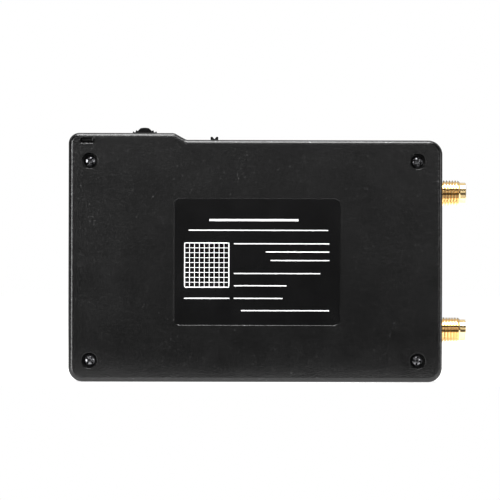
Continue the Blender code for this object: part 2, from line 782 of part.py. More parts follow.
def front_shell():
    """The shell with the screen window, the lip of the seam, the screw bosses and the display fence."""
    shell = case_half("front_shell", (CASE_BACK - OVERRUN, SEAM_GAP / 2))
    lip = slab(
        "seam_lip",
        "Y",
        (-LIP_RISE, SEAM_GAP / 2 + OVERRUN),
        [case_outline(SIDE_WALL - LIP_THICKNESS)],
        CUTTERS,
    )
    cut(join(shell, lip), case_hollow("shell"))
    boss_face = BOARD_FRONT + SEAT_GAP
    for number, place in enumerate(SCREW_PLACES, 1):
        reach = (boss_face, INNER_FRONT + FRONT_WALL / 2)
        join(shell, rod(f"boss_{number}", "Y", place, reach, BOSS_DIAMETER / 2, CUTTERS))
    join(
        shell,
        fence(
            "display_fence",
            widened(DISPLAY_X, WALL_GAP),
            (BOARD_FRONT + FENCE_TO_BOARD, INNER_FRONT + FRONT_WALL / 2),
            widened(DISPLAY_Z, WALL_GAP),
            FENCE_WALL,
        ),
    )
    for number, place in enumerate(SCREW_PLACES, 1):
        pilot = (boss_face - OVERRUN, INNER_FRONT - PILOT_TO_FRONT_WALL)
        cut(shell, rod(f"pilot_{number}", "Y", place, pilot, PILOT_HOLE / 2, CUTTERS))
    flex_gate = block(
        "flex_gate",
        (DISPLAY_X[0] - WALL_GAP - FENCE_WALL - OVERRUN, DISPLAY_X[0]),
        (BOARD_FRONT, INNER_FRONT - TOUCH_THICKNESS),
        around(DISPLAY_MIDDLE[1], FLEX_WIDTH + 2 * WALL_GAP),
        CUTTERS,
    )
    jog_front = JOG_KNOB_FRONT + WALL_GAP
    cut(shell, window(), flex_gate, *wall_openings("shell", jog_front, 0.0))
    return finish(shell, (0.020, 0.020, 0.021), 0.55)


def window():
    """The cutter for the screen's opening, which spreads to a sloping edge at the front face."""
    cutter = slab(
        "window",
        "Y",
        (INNER_FRONT - OVERRUN, CASE_FRONT - WINDOW_CHAMFER),
        [rectangle(WINDOW_X, WINDOW_Z, WINDOW_CORNER_RADIUS)],
        CUTTERS,
    )
    shape = bmesh.new()
    shape.from_mesh(cutter.data)
    # The turn for Y points the cutter's own axis to -Y, so its front end faces down that axis
    front_end = [face for face in shape.faces if face.normal.z < -math.cos(SHARP_ANGLE)]
    grown = bmesh.ops.extrude_face_region(shape, geom=front_end)["geom"]
    bmesh.ops.delete(shape, geom=front_end, context="FACES_ONLY")
    spread = WINDOW_CHAMFER + OVERRUN
    for point in grown:
        if isinstance(point, bmesh.types.BMVert):
            point.co.x += math.copysign(spread, point.co.x - DISPLAY_MIDDLE[0])
            point.co.y += math.copysign(spread, point.co.y - DISPLAY_MIDDLE[1])
            point.co.z -= spread
    shape.to_mesh(cutter.data)
    shape.free()
    return cutter


def label():
    """The sticker in its recess on the back."""
    sticker = slab(
        "label",
        "Y",
        (LABEL_OUTER, LABEL_OUTER + LABEL_THICKNESS),
        [rectangle(LABEL_X, LABEL_Z, LABEL_CORNER_RADIUS)],
    )
    return finish(sticker, (0.012, 0.012, 0.012), 0.35)


def case_screw(number, place):
    """A cross-recess pan head screw that goes through the cover and the board into a boss."""
    seat = CASE_BACK + COUNTERBORE_DEPTH - SEAT_GAP
    top = seat - SCREW_HEAD_HEIGHT
    rim = SCREW_HEAD / 2
    dome = SCREW_HEAD_HEIGHT / 2
    tip = INNER_FRONT - SCREW_TO_FRONT_WALL
    profile = [(0, tip), (SCREW_CORE / 4, tip), (SCREW_CORE / 2, tip - SCREW_POINT)]
    profile.append((SCREW_CORE / 2, seat))
    profile.append((rim, seat))
    steps = FILLET_SEGMENTS + 1
    for step in range(steps + 1):
        angle = math.pi / 2 * step / steps
        profile.append((rim / 2 + rim / 2 * math.cos(angle), top + dome - dome * math.sin(angle)))
    profile.append((0, top))
    # The turn for Y points the profile's own axis to -Y, so its places change sign and order
    flipped = [(radius, -along) for radius, along in reversed(profile)]
    screw = turned(f"case_screw_{number}", "Y", place, flipped)
    recess = (top - OVERRUN, top + RECESS_DEPTH)
    arms = [
        block(
            f"recess_{number}_{kind}",
            around(place[0], width),
            recess,
            around(place[1], height),
            CUTTERS,
        )
        for kind, width, height in (
            ("across", RECESS_ARM, RECESS_SLOT),
            ("up", RECESS_SLOT, RECESS_ARM),
        )
    ]
    cut(screw, *arms)
    return finish(screw, (0.03, 0.03, 0.03), 0.35, 1.0)


def circuit_board():
    """The board between the shells, with a hole for each case screw."""
    outline = rectangle((BOARD_LEFT, BOARD_RIGHT), (BOARD_BOTTOM, BOARD_TOP), BOARD_CORNER_RADIUS)
    holes = [circle(place, SCREW_HOLE / 2, SMALL_SIDES) for place in SCREW_PLACES]
    board = slab("circuit_board", "Y", (BOARD_BACK, BOARD_FRONT), [outline, *holes])
    return finish(board, (0.01, 0.03, 0.02), 0.4)


def display_stack():
    """The gasket, the touch panel, the display in its tray and the flat cable to the board."""
    gasket = slab(
        "screen_gasket",
        "Y",
        (TOUCH_FRONT + SEAT_GAP, TOUCH_FRONT + SEAT_GAP + GASKET_THICKNESS),
        [
            rectangle(widened(WINDOW_X, GASKET_WIDTH), widened(WINDOW_Z, GASKET_WIDTH)),
            rectangle(WINDOW_X, WINDOW_Z),
        ],
    )
    finish(gasket, (0.02, 0.02, 0.02), 0.9)
    touch = slab(
        "touch_panel",
        "Y",
        (TOUCH_FRONT - TOUCH_THICKNESS, TOUCH_FRONT),
        [rectangle(DISPLAY_X, DISPLAY_Z, WINDOW_CORNER_RADIUS)],
    )
    finish(touch, (0.02, 0.022, 0.025), 0.1)
    tray = block("display_tray", DISPLAY_X, (TRAY_BACK, TRAY_FRONT), DISPLAY_Z)
    well = block(
        "display_well",
        widened(DISPLAY_X, -DISPLAY_TRAY_WALL),
        (TRAY_BACK + DISPLAY_TRAY_WALL, TRAY_FRONT + OVERRUN),
        widened(DISPLAY_Z, -DISPLAY_TRAY_WALL),
        CUTTERS,
    )
    cable_side = block(
        "cable_side",
        (DISPLAY_X[0] - OVERRUN, DISPLAY_X[0] + OVERRUN),
        (TRAY_BACK + DISPLAY_TRAY_WALL, TRAY_FRONT + OVERRUN),
        around(DISPLAY_MIDDLE[1], FLEX_WIDTH + 2 * WALL_GAP),
        CUTTERS,
    )
    cut(tray, well, cable_side)
    finish(tray, (0.6, 0.6, 0.6), 0.35, 1.0)
    panel_back = TRAY_BACK + DISPLAY_TRAY_WALL + SEAT_GAP
    panel = block(
        "display_panel",
        widened(DISPLAY_X, -PANEL_INSET),
        (panel_back, TRAY_FRONT),
        widened(DISPLAY_Z, -PANEL_INSET),
    )
    finish(panel, (0.02, 0.02, 0.03), 0.15)
    display_flex(panel_back)


def display_flex(panel_back):
    """The flat cable that leaves the panel's side and folds back onto the board."""
    low = BOARD_FRONT + SEAT_GAP
    high = (panel_back + TRAY_FRONT) / 2
    bend = (high - low + FLEX_THICKNESS) / 2
    middle = (DISPLAY_X[0] - FLEX_THICKNESS, (low + high + FLEX_THICKNESS) / 2)
    outer, inner = [], []
    steps = ROUND_SIDES // 4
    for step in range(steps + 1):
        angle = math.pi / 2 + math.pi * step / steps
        across, up = math.cos(angle), math.sin(angle)
        outer.append((middle[0] + bend * across, middle[1] + bend * up))
        inside = bend - FLEX_THICKNESS
        inner.append((middle[0] + inside * across, middle[1] + inside * up))
    panel_end = DISPLAY_X[0] + DISPLAY_TRAY_WALL
    tail_end = DISPLAY_X[0] + FLEX_TAIL
    outline = [
        (panel_end, middle[1] + bend),
        *outer,
        (tail_end, middle[1] - bend),
        (tail_end, middle[1] - bend + FLEX_THICKNESS),
        *reversed(inner),
        (panel_end, middle[1] + bend - FLEX_THICKNESS),
    ]
    flex = slab("display_flex", "Z", around(DISPLAY_MIDDLE[1], FLEX_WIDTH), [outline])
    finish(flex, (0.45, 0.22, 0.05), 0.4)


def antenna_port(number, height):
    """An edge-mounted coaxial connector: its body, its insulator and its centre contact."""
    axis = (0, height)
    tip = CASE_RIGHT + PORT_REACH
    rear = BOARD_RIGHT + SEAT_GAP
    face = tip - PORT_FACE_DEPTH
    lead = PORT_LEAD / 2
    thread = PORT_THREAD / 2
    body = turned(
        f"port_{number}_body",
        "X",
        axis,
        [
            (0, tip),
            (lead - PORT_CHAMFER, tip),
            (lead, tip - PORT_CHAMFER),
            (lead, tip - PORT_LEAD_LENGTH),
            (thread, tip - PORT_LEAD_LENGTH - PORT_THREAD_CHAMFER),
            (thread, rear + PORT_FLANGE_THICKNESS / 2),
            (0, rear + PORT_FLANGE_THICKNESS / 2),
        ],
    )
    flange = block(
        f"port_{number}_flange",
        (rear, rear + PORT_FLANGE_THICKNESS),
        around(0, PORT_FLANGE),
        around(height, PORT_FLANGE),
        CUTTERS,
    )
    prongs = []
    inner_edge = PORT_FLANGE / 2 - PORT_PRONG
    for side, y_span in (
        ("back", (MOUNTED - PORT_PRONG, MOUNTED)),
        ("front", (BOARD_FRONT + SEAT_GAP, PORT_FLANGE / 2)),
    ):
        for end, z_span in (
            ("upper", (height + inner_edge, height + PORT_FLANGE / 2)),
            ("lower", (height - PORT_FLANGE / 2, height - inner_edge)),
        ):
            prongs.append(
                block(
                    f"port_{number}_{side}_{end}_prong",
                    (rear - PORT_PRONG_LENGTH, rear + PORT_FLANGE_THICKNESS / 2),
                    y_span,
                    z_span,
                    CUTTERS,
                )
            )
    bore = rod(
        f"port_{number}_bore", "X", axis, (rear - OVERRUN, tip + OVERRUN), PORT_BORE / 2, CUTTERS
    )
    cut(join(body, flange, *prongs), bore)
    finish(body, (0.78, 0.55, 0.22), 0.25, 1.0)

    insulator = rod(f"port_{number}_insulator", "X", axis, (rear, face), INSULATOR_DIAMETER / 2)
    contact_way = rod(
        f"port_{number}_contact_way",
        "X",
        axis,
        (rear - OVERRUN, face + OVERRUN),
        CONTACT_DIAMETER / 2 + SEAT_GAP,
        CUTTERS,
        sides=SMALL_SIDES,
    )
    cut(insulator, contact_way)
    finish(insulator, (0.8, 0.8, 0.78), 0.5)

    contact = turned(
        f"port_{number}_contact",
        "X",
        axis,
        [
            (0, face - CONTACT_BORE_DEPTH),
            (CONTACT_BORE / 2, face - CONTACT_BORE_DEPTH),
            (CONTACT_BORE / 2, face),
            (CONTACT_DIAMETER / 2, face),
            (CONTACT_DIAMETER / 2, rear),
            (CONTACT_TAIL / 2, rear),
            (CONTACT_TAIL / 2, rear - CONTACT_TAIL_LENGTH),
            (0, rear - CONTACT_TAIL_LENGTH),
        ],
    )
    contact.modifiers["turn"].steps = SMALL_SIDES
    contact.modifiers["turn"].render_steps = SMALL_SIDES
    return finish(contact, (0.78, 0.55, 0.22), 0.25, 1.0)


def charging_socket():
    """The socket on the board's edge: a drawn shell with a tongue inside."""
    foot = USB_MOUTH - USB_LENGTH
    outer_x, outer_y = around(USB_X, USB_WIDTH), around(USB_Y, USB_HEIGHT)
    shell = slab(
        "usb_shell", "Z", (foot, USB_MOUTH), [rectangle(outer_x, outer_y, USB_CORNER_RADIUS)]
    )
    mouth = slab(
        "usb_mouth",
        "Z",
        (foot + USB_WALL, USB_MOUTH + OVERRUN),
        [
            rectangle(
                widened(outer_x, -USB_WALL), widened(outer_y, -USB_WALL), USB_CORNER_RADIUS - USB_WALL
            )
        ],
        CUTTERS,
    )
    cut(shell, mouth)
    finish(shell, (0.6, 0.6, 0.62), 0.25, 1.0)
    tongue = block(
        "usb_tongue",
        around(USB_X, USB_TONGUE_WIDTH),
        around(USB_Y, USB_TONGUE_THICKNESS),
        (foot + USB_WALL + SEAT_GAP, USB_MOUTH - USB_TONGUE_INSET),
    )
    round_rims(tongue, USB_TONGUE_THICKNESS / 4, 1)
    finish(tongue, (0.02, 0.02, 0.02), 0.5)


def slide_switch():
    """The power switch: a base with its sheet cover, and the slider with its contact."""
    front_edge = BOARD_TOP + SLIDE_FORWARD
    foot = front_edge - SLIDE_BODY_HEIGHT
    middle_x = SLIDE_X + SLIDE_TRAVEL / 2
    body_x = around(middle_x, SLIDE_BODY_WIDTH)
    body_y = (MOUNTED - SLIDE_BODY_DEPTH, MOUNTED)
    base = block("slide_switch_base", body_x, body_y, (foot, foot + SLIDE_BASE_THICKNESS))
    finish(base, (0.03, 0.03, 0.03), 0.6)

    cover_foot = foot + SLIDE_BASE_THICKNESS + SEAT_GAP
    cover = block("slide_switch_cover", body_x, body_y, (cover_foot, front_edge))
    room = block(
        "slide_switch_room",
        widened(body_x, -SLIDE_SHEET),
        widened(body_y, -SLIDE_SHEET),
        (cover_foot - OVERRUN, front_edge - SLIDE_SHEET),
        CUTTERS,
    )
    knob_y = around(SLIDE_KNOB_Y, SLIDE_KNOB_DEPTH)
    gate = block(
        "slide_switch_gate",
        (SLIDE_SLOT_LOW, SLIDE_SLOT_HIGH),
        widened(knob_y, RUNNING_GAP),
        (front_edge - SLIDE_SHEET - OVERRUN, front_edge + OVERRUN),
        CUTTERS,
    )
    cut(cover, room, gate)
    finish(cover, (0.6, 0.6, 0.62), 0.3, 1.0)

    block_top = front_edge - SLIDE_SHEET - RUNNING_GAP
    block_foot = block_top - SLIDE_BLOCK_HEIGHT
    slider = block(
        "power_slider",
        around(SLIDE_X, SLIDE_BLOCK_WIDTH),
        widened(body_y, -SLIDE_SHEET - RUNNING_GAP),
        (block_foot, block_top),
    )
    knob_top = CASE_HEIGHT + SLIDE_KNOB_REACH
    stem = block(
        "power_slider_stem",
        around(SLIDE_X, SLIDE_KNOB_WIDTH),
        knob_y,
        (block_top - SLIDE_BLOCK_HEIGHT / 2, knob_top),
        CUTTERS,
    )
    half = SLIDE_KNOB_WIDTH / 4
    notch = slab(
        "power_slider_notch",
        "Y",
        widened(knob_y, OVERRUN),
        [
            [
                (SLIDE_X, knob_top - SLIDE_NOTCH),
                (SLIDE_X + half, knob_top),
                (SLIDE_X + half, knob_top + OVERRUN),
                (SLIDE_X - half, knob_top + OVERRUN),
                (SLIDE_X - half, knob_top),
            ]
        ],
        CUTTERS,
    )
    cut(join(slider, stem), notch)
    finish(slider, (0.025, 0.025, 0.025), 0.5)

    contact = slide_contact(foot + SLIDE_BASE_THICKNESS + SEAT_GAP, block_foot - SEAT_GAP)
    marker = joint_marker("power_slider_way", (SLIDE_X, SLIDE_KNOB_Y, front_edge))
    carry(marker, slider, contact)


def slide_contact(low, high):
    """The bowed strip under the slider that bridges the terminals."""
    half = SLIDE_BLOCK_WIDTH / 2
    steps = ROUND_SIDES // 4
    arch = high - low - SLIDE_CONTACT_THICKNESS
    under, over = [], []
    for step in range(steps + 1):
        across = SLIDE_X - half + SLIDE_BLOCK_WIDTH * step / steps
        rise = arch * math.sin(math.pi * step / steps)
        under.append((across, low + rise))
        over.append((across, low + rise + SLIDE_CONTACT_THICKNESS))
    strip = slab(
        "slide_switch_contact",
        "Y",
        around(SLIDE_KNOB_Y, SLIDE_KNOB_DEPTH / 2),
        [[*under, *reversed(over)]],
    )
    return finish(strip, (0.7, 0.5, 0.25), 0.3, 1.0)


def fan_outline():
    """The lever's outline: hub, lug, and a fan whose rim has a crest with ribs on both sides of it."""
    rim = JOG_KNOB_RADIUS
    root = rim - JOG_KNOB_RIB
    right = [(0.0, rim + JOG_KNOB_CROWN), (JOG_CREST_HALF, rim + JOG_KNOB_CROWN)]
    right.append((JOG_CREST_FOOT, root))
    for angle in JOG_RIB_ANGLES:
        right.append((angle - JOG_RIB_ROOT, root))
        right.append((angle - JOG_RIB_HALF, rim))
        right.append((angle + JOG_RIB_HALF, rim))
        right.append((angle + JOG_RIB_ROOT, root))
    right = [(angle, radius) for angle, radius in right if angle <= JOG_KNOB_HALF_FAN]
    right.append((JOG_KNOB_HALF_FAN, root))
    points = [(radius * math.sin(angle), radius * math.cos(angle)) for angle, radius in right]
    lug = JOG_LUG_WIDTH / 2
    waist = math.asin(lug / JOG_HUB_RADIUS)
    steps = SMALL_SIDES // 2
    for step in range(steps + 1):
        angle = math.pi / 2 + (math.pi / 2 - waist) * step / steps
        points.append((JOG_HUB_RADIUS * math.sin(angle), JOG_HUB_RADIUS * math.cos(angle)))
    points.append((lug, -JOG_LUG_REACH))
    mirrored = [(-across, up) for across, up in reversed(points[1:])]
    return [(JOG_PIVOT.x + across, JOG_PIVOT.z + up) for across, up in points + mirrored]


def jog_switch():
    """The jog switch: base, cover, sliding carrier with its pin, the lever, its spring and the dome."""
    foot = JOG_FRONT_EDGE - JOG_BODY_HEIGHT
    body_x = around(JOG_X, JOG_BODY_WIDTH)
    carrier_x = around(JOG_X, JOG_CARRIER_WIDTH)
    carrier_y = (JOG_KNOB_BACK - RUNNING_GAP - JOG_CHEEK, JOG_FLOOR_FACE - RUNNING_GAP)
    cover_face = carrier_y[0] - RUNNING_GAP
    shoulder = JOG_FRONT_EDGE - JOG_SHOULDER
    carrier_foot = foot + JOG_REAR_WALL + JOG_DOME_RISE + JOG_DOME_THICKNESS + 2 * SEAT_GAP + JOG_PRESS

    base = block("jog_switch_base", body_x, (cover_face + SEAT_GAP, MOUNTED), (foot, JOG_FRONT_EDGE))
    left, right = widened(carrier_x, RUNNING_GAP)
    mouth_left, mouth_right = widened(carrier_x, -JOG_SHOULDER)
    channel_foot, step_up = foot + JOG_REAR_WALL, shoulder + RUNNING_GAP
    channel = slab(
        "jog_channel",
        "Y",
        (cover_face - OVERRUN, JOG_FLOOR_FACE),
        [
            [
                (left, channel_foot),
                (right, channel_foot),
                (right, step_up),
                (mouth_right, step_up),
                (mouth_right, JOG_FRONT_EDGE + OVERRUN),
                (mouth_left, JOG_FRONT_EDGE + OVERRUN),
                (mouth_left, step_up),
                (left, step_up),
            ]
        ],
        CUTTERS,
    )
    cut(base, channel)
    finish(base, (0.02, 0.02, 0.02), 0.6)

    wrap = widened(body_x, SEAT_GAP + JOG_COVER_SHEET)
    cover = block(
        "jog_switch_cover", wrap, (cover_face - JOG_COVER_SHEET, MOUNTED), (foot, JOG_FRONT_EDGE)
    )
    gap = block(
        "jog_cover_room",
        widened(body_x, SEAT_GAP),
        (cover_face, MOUNTED + OVERRUN),
        (foot - OVERRUN, JOG_FRONT_EDGE + OVERRUN),
        CUTTERS,
    )
    cut(cover, gap)
    finish(cover, (0.6, 0.6, 0.62), 0.3, 1.0)

    stem = JOG_CHEEK_RADIUS
    top = JOG_PIVOT.z + JOG_CHEEK_RADIUS
    wide = JOG_CARRIER_WIDTH / 2
    corners = [
        (JOG_X - wide, carrier_foot, 0),
        (JOG_X + wide, carrier_foot, 0),
        (JOG_X + wide, shoulder, 0),
        (JOG_X + stem, shoulder, 0),
        (JOG_X + stem, top, JOG_CHEEK_CORNER),
        (JOG_X - stem, top, JOG_CHEEK_CORNER),
        (JOG_X - stem, shoulder, 0),
        (JOG_X - wide, shoulder, 0),
    ]
    carrier = slab("jog_carrier", "Y", carrier_y, [rounded_path(corners)])
    fork_foot = JOG_PIVOT.z - JOG_FORK_DEPTH
    fork = block(
        "jog_fork",
        widened(carrier_x, OVERRUN),
        widened(carrier_y, -JOG_CHEEK),
        (fork_foot, top + OVERRUN),
        CUTTERS,
    )
    pin_middle = (JOG_X, JOG_PIVOT.z)
    pin_hole = rod(
        "jog_pin_hole",
        "Y",
        pin_middle,
        widened(carrier_y, OVERRUN),
        JOG_PIN / 2 + SEAT_GAP,
        CUTTERS,
        sides=SMALL_SIDES,
    )
    cut(carrier, fork, pin_hole)
    finish(carrier, (0.02, 0.02, 0.02), 0.5)

    pin = rod("jog_pivot_pin", "Y", pin_middle, carrier_y, JOG_PIN / 2, sides=SMALL_SIDES)
    finish(pin, (0.6, 0.6, 0.62), 0.25, 1.0)

    knob = slab("jog_knob", "Y", (JOG_KNOB_BACK, JOG_KNOB_FRONT), [fan_outline()])
    cut(knob, pin_hole)
    finish(knob, (0.025, 0.025, 0.025), 0.5)

    spring = wire("jog_return_spring", hairpin(fork_foot), JOG_SPRING_WIRE)
    finish(spring, (0.6, 0.6, 0.62), 0.3, 1.0)

    dome_foot = foot + JOG_REAR_WALL + SEAT_GAP
    dome = turned(
        "jog_push_dome",
        "Z",
        (JOG_X, JOG_PIVOT.y),
        dome_profile(dome_foot),
    )
    finish(dome, (0.6, 0.6, 0.62), 0.3, 1.0)

    way = joint_marker("jog_carrier_way", (JOG_X, JOG_PIVOT.y, carrier_foot))
    axis = joint_marker("jog_knob_axis", JOG_PIVOT, way)
    carry(way, carrier, pin, spring)
    carry(axis, knob)


def hairpin(floor):
    """The route of the wire that brings the lever back: a flat U that stands in the fork."""
    half = JOG_SPRING_SPAN / 2
    low = floor + SEAT_GAP + JOG_SPRING_WIRE / 2
    bend = JOG_SPRING_WIRE * 2
    corners = [(half, low + JOG_SPRING_LEG), (half, low), (-half, low), (-half, low + JOG_SPRING_LEG)]
    radii = (0, bend, bend, 0)
    path = rounded_path([(x, z, radius) for (x, z), radius in zip(corners, radii)])
    return [(JOG_X + across, JOG_PIVOT.y, up) for across, up in path]


def dome_profile(floor):
    """The thin spring disc behind the carrier, bowed away from the rear wall."""
    radius = JOG_DOME_DIAMETER / 2
    steps = FILLET_SEGMENTS
    over, under = [], []
    for step in range(steps + 1):
        angle = math.pi / 2 * step / steps
        rise = JOG_DOME_RISE * math.cos(angle)
        over.append((radius * math.sin(angle), floor + rise + JOG_DOME_THICKNESS))
        under.append((radius * math.sin(angle), floor + rise))
    return over + list(reversed(under))


def battery():
    """The flat cell with its taped guard strip, foam pad, two leads, plug and header."""
    guard_foot = BATTERY_Z[1] - BATTERY_GUARD_HEIGHT
    cell = block(
        "battery_cell",
        BATTERY_X,
        (BATTERY_BACK, BATTERY_FRONT),
        (BATTERY_Z[0], guard_foot - SEAT_GAP),
    )
    round_rims(cell, BATTERY_EDGE)
    finish(cell, (0.55, 0.56, 0.58), 0.35)
    middle_y = (BATTERY_BACK + BATTERY_FRONT) / 2
    guard = block(
        "battery_guard_strip",
        widened(BATTERY_X, -BATTERY_EDGE),
        (BATTERY_BACK + BATTERY_GUARD_INSET, BATTERY_FRONT - BATTERY_GUARD_INSET),
        (guard_foot, BATTERY_Z[1]),
    )
    round_rims(guard, BATTERY_GUARD_EDGE, 2)
    finish(guard, (0.6, 0.35, 0.05), 0.4)
    pad_front = BATTERY_BACK - SEAT_GAP
    pad = block(
        "battery_pad",
        widened(BATTERY_X, -BATTERY_PAD_INSET),
        (pad_front - BATTERY_PAD_THICKNESS, pad_front),
        (BATTERY_Z[0] + BATTERY_PAD_INSET, guard_foot - BATTERY_PAD_INSET),
    )
    finish(pad, (0.03, 0.03, 0.03), 0.95)

    header_top = CASE_HEIGHT - HEADER_FROM_TOP + HEADER_LENGTH
    plug_foot = CASE_HEIGHT - HEADER_FROM_TOP - PLUG_LENGTH / 2
    plug_top = header_top - HEADER_WALL - SEAT_GAP
    plug_y = (MOUNTED - HEADER_WALL - SEAT_GAP - PLUG_HEIGHT, MOUNTED - HEADER_WALL - SEAT_GAP)
    plug = block("battery_plug", around(PLUG_X, PLUG_WIDTH), plug_y, (plug_foot, plug_top))
    round_rims(plug, CHIP_EDGE, 1)
    finish(plug, (0.8, 0.78, 0.7), 0.5)
    header_x = widened(around(PLUG_X, PLUG_WIDTH), SEAT_GAP + HEADER_WALL)
    header_y = widened(plug_y, SEAT_GAP + HEADER_WALL)
    header = block(
        "battery_header", header_x, header_y, (CASE_HEIGHT - HEADER_FROM_TOP, header_top)
    )
    socket = block(
        "battery_socket",
        widened(header_x, -HEADER_WALL),
        widened(header_y, -HEADER_WALL),
        (CASE_HEIGHT - HEADER_FROM_TOP - OVERRUN, header_top - HEADER_WALL),
        CUTTERS,
    )
    cut(header, socket)
    finish(header, (0.8, 0.78, 0.7), 0.5)

    for color_name, side, color in (("red", 1, (0.6, 0.02, 0.02)), ("black", -1, (0.02, 0.02, 0.02))):
        lead_x = PLUG_X + side * LEAD_PITCH / 2
        start = Vector((lead_x - LEAD_PITCH, middle_y, BATTERY_Z[1] + SEAT_GAP))
        end = Vector((lead_x, sum(plug_y) / 2, plug_foot - SEAT_GAP))
        lead = wire(f"battery_lead_{color_name}", lead_route(start, end), LEAD_DIAMETER)
        finish(lead, color, 0.5)


def lead_route(start, end):
    """A smooth route that leaves the guard strip upwards and enters the plug from below."""
    lift = Vector((0, 0, LEAD_DIAMETER))
    steps = SMALL_SIDES // 2
    route = []
    for step in range(steps + 1):
        share = step / steps
        rest = 1 - share
        route.append(
            start * rest**3
            + (start + lift) * (3 * share * rest**2)
            + (end - lift) * (3 * share**2 * rest)
            + end * share**3
        )
    return route


def chip(name, middle, size, height, edge=CHIP_EDGE, color=(0.02, 0.02, 0.02), metallic=0.0):
    """A moulded chip or can on the back of the board."""
    part = block(
        name,
        around(middle[0], size[0]),
        (MOUNTED - height, MOUNTED),
        around(middle[1], size[1]),
    )
    round_rims(part, edge, 1)
    return finish(part, color, 0.45, metallic)


def board_electronics():
    """The chips of the signal path, the processor, the power stage and the two shield lids."""
    square = (PROCESSOR_SIZE, PROCESSOR_SIZE)
    chip("processor_chip", (CHIP_COLUMN, PROCESSOR_FROM_BOTTOM), square, PROCESSOR_HEIGHT)
    chip("codec_chip", (CHIP_COLUMN, CODEC_FROM_BOTTOM), (CODEC_SIZE, CODEC_SIZE), CODEC_HEIGHT)
    chip("clock_chip", (CHIP_COLUMN, CLOCK_FROM_BOTTOM), (CLOCK_SIZE, CLOCK_SIZE), CLOCK_HEIGHT)
    chip(
        "clock_crystal",
        (CHIP_COLUMN, CRYSTAL_FROM_BOTTOM),
        (CRYSTAL_WIDTH, CRYSTAL_LENGTH),
        CRYSTAL_HEIGHT,
        color=(0.6, 0.6, 0.6),
        metallic=1.0,
    )
    row = CASE_HEIGHT - POWER_ROW_FROM_TOP
    chip("charger_chip", (CHARGER_X, row), (CHARGER_SIZE, CHARGER_SIZE), CHARGER_HEIGHT)
    chip(
        "power_inductor",
        (CHARGER_X - INDUCTOR_TO_CHARGER, row),
        (INDUCTOR_SIZE, INDUCTOR_SIZE),
        INDUCTOR_HEIGHT,
        INDUCTOR_EDGE,
        (0.05, 0.05, 0.055),
    )
    for number, shield_z in enumerate(SHIELD_Z, 1):
        shield_lid(number, SHIELD_X, shield_z)
    middle_x = sum(SHIELD_X) / 2
    upper_z, lower_z = (sum(span) / 2 for span in SHIELD_Z)
    mixer_places = (
        (middle_x - MIXER_SPACING / 2, upper_z),
        (middle_x + MIXER_SPACING / 2, upper_z),
        (middle_x, lower_z),
    )
    for number, place in enumerate(mixer_places, 1):
        chip(f"mixer_chip_{number}", place, (MIXER_SIZE, MIXER_SIZE), MIXER_HEIGHT)


def shield_lid(number, x_span, z_span):
    """A thin metal lid, open towards the board."""
    lid = block(
        f"shield_lid_{number}", x_span, (MOUNTED - SHIELD_DEPTH, MOUNTED), z_span
    )
    round_rims(lid, SHIELD_EDGE, 1)
    room = block(
        f"shield_room_{number}",
        widened(x_span, -SHIELD_WALL),
        (MOUNTED - SHIELD_DEPTH + SHIELD_WALL, MOUNTED + OVERRUN),
        widened(z_span, -SHIELD_WALL),
        CUTTERS,
    )
    cut(lid, room)
    return finish(lid, (0.6, 0.6, 0.6), 0.3, 1.0)


def main():
    """Build the whole analyzer."""
    back_cover()
    front_shell()
    label()
    for number, place in enumerate(SCREW_PLACES, 1):
        case_screw(number, place)
    circuit_board()
    display_stack()
    for number, height in enumerate(PORT_HEIGHTS, 1):
        antenna_port(number, height)
    charging_socket()
    slide_switch()
    jog_switch()
    battery()
    board_electronics()


main()
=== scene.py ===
"""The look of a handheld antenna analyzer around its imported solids.

The case stands on its long bottom edge: its back faces -Y, its screen faces +Y and its two gold
coaxial ports point along +X. Every sub-assembly is a class that models its visible pieces with
operators, gives them their finishes and lets them ride on the bodies of the frame.
"""

import logging
import math
from collections.abc import Sequence
from dataclasses import dataclass
from enum import Enum

import bmesh
import bpy
from mathutils import Matrix, Vector


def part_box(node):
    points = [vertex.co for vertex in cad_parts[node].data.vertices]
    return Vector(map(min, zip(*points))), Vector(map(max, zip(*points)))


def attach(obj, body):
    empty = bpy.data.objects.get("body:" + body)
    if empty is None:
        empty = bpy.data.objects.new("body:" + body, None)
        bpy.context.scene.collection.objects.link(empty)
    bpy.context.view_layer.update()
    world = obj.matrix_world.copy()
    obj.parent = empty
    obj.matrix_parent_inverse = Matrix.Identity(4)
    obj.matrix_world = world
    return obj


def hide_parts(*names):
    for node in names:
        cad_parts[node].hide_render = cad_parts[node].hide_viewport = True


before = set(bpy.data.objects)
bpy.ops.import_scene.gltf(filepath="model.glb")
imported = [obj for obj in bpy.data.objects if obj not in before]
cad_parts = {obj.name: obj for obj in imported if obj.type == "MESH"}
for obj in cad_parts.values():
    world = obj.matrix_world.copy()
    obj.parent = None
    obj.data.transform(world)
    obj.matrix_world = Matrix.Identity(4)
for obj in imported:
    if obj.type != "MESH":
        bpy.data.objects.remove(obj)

LOG = logging.getLogger("analyzer")
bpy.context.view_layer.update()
MM = 0.001
WELD = 0.0005 * MM
ROD_SIDES = 48
TURNED_STEPS = 64
ARC_STEP = math.radians(7.5)
RIM_ANGLE = 60.0

Piece = bpy.types.Object
Socket = bpy.types.NodeSocket
Value = float | Socket
Span = tuple[float, float]
Point2 = tuple[float, float]
Place = tuple[float, float, float]


def mm(*sizes: float) -> tuple[float, ...]:
    """Sizes in millimetres, turned into metres."""
    return tuple(size * MM for size in sizes)


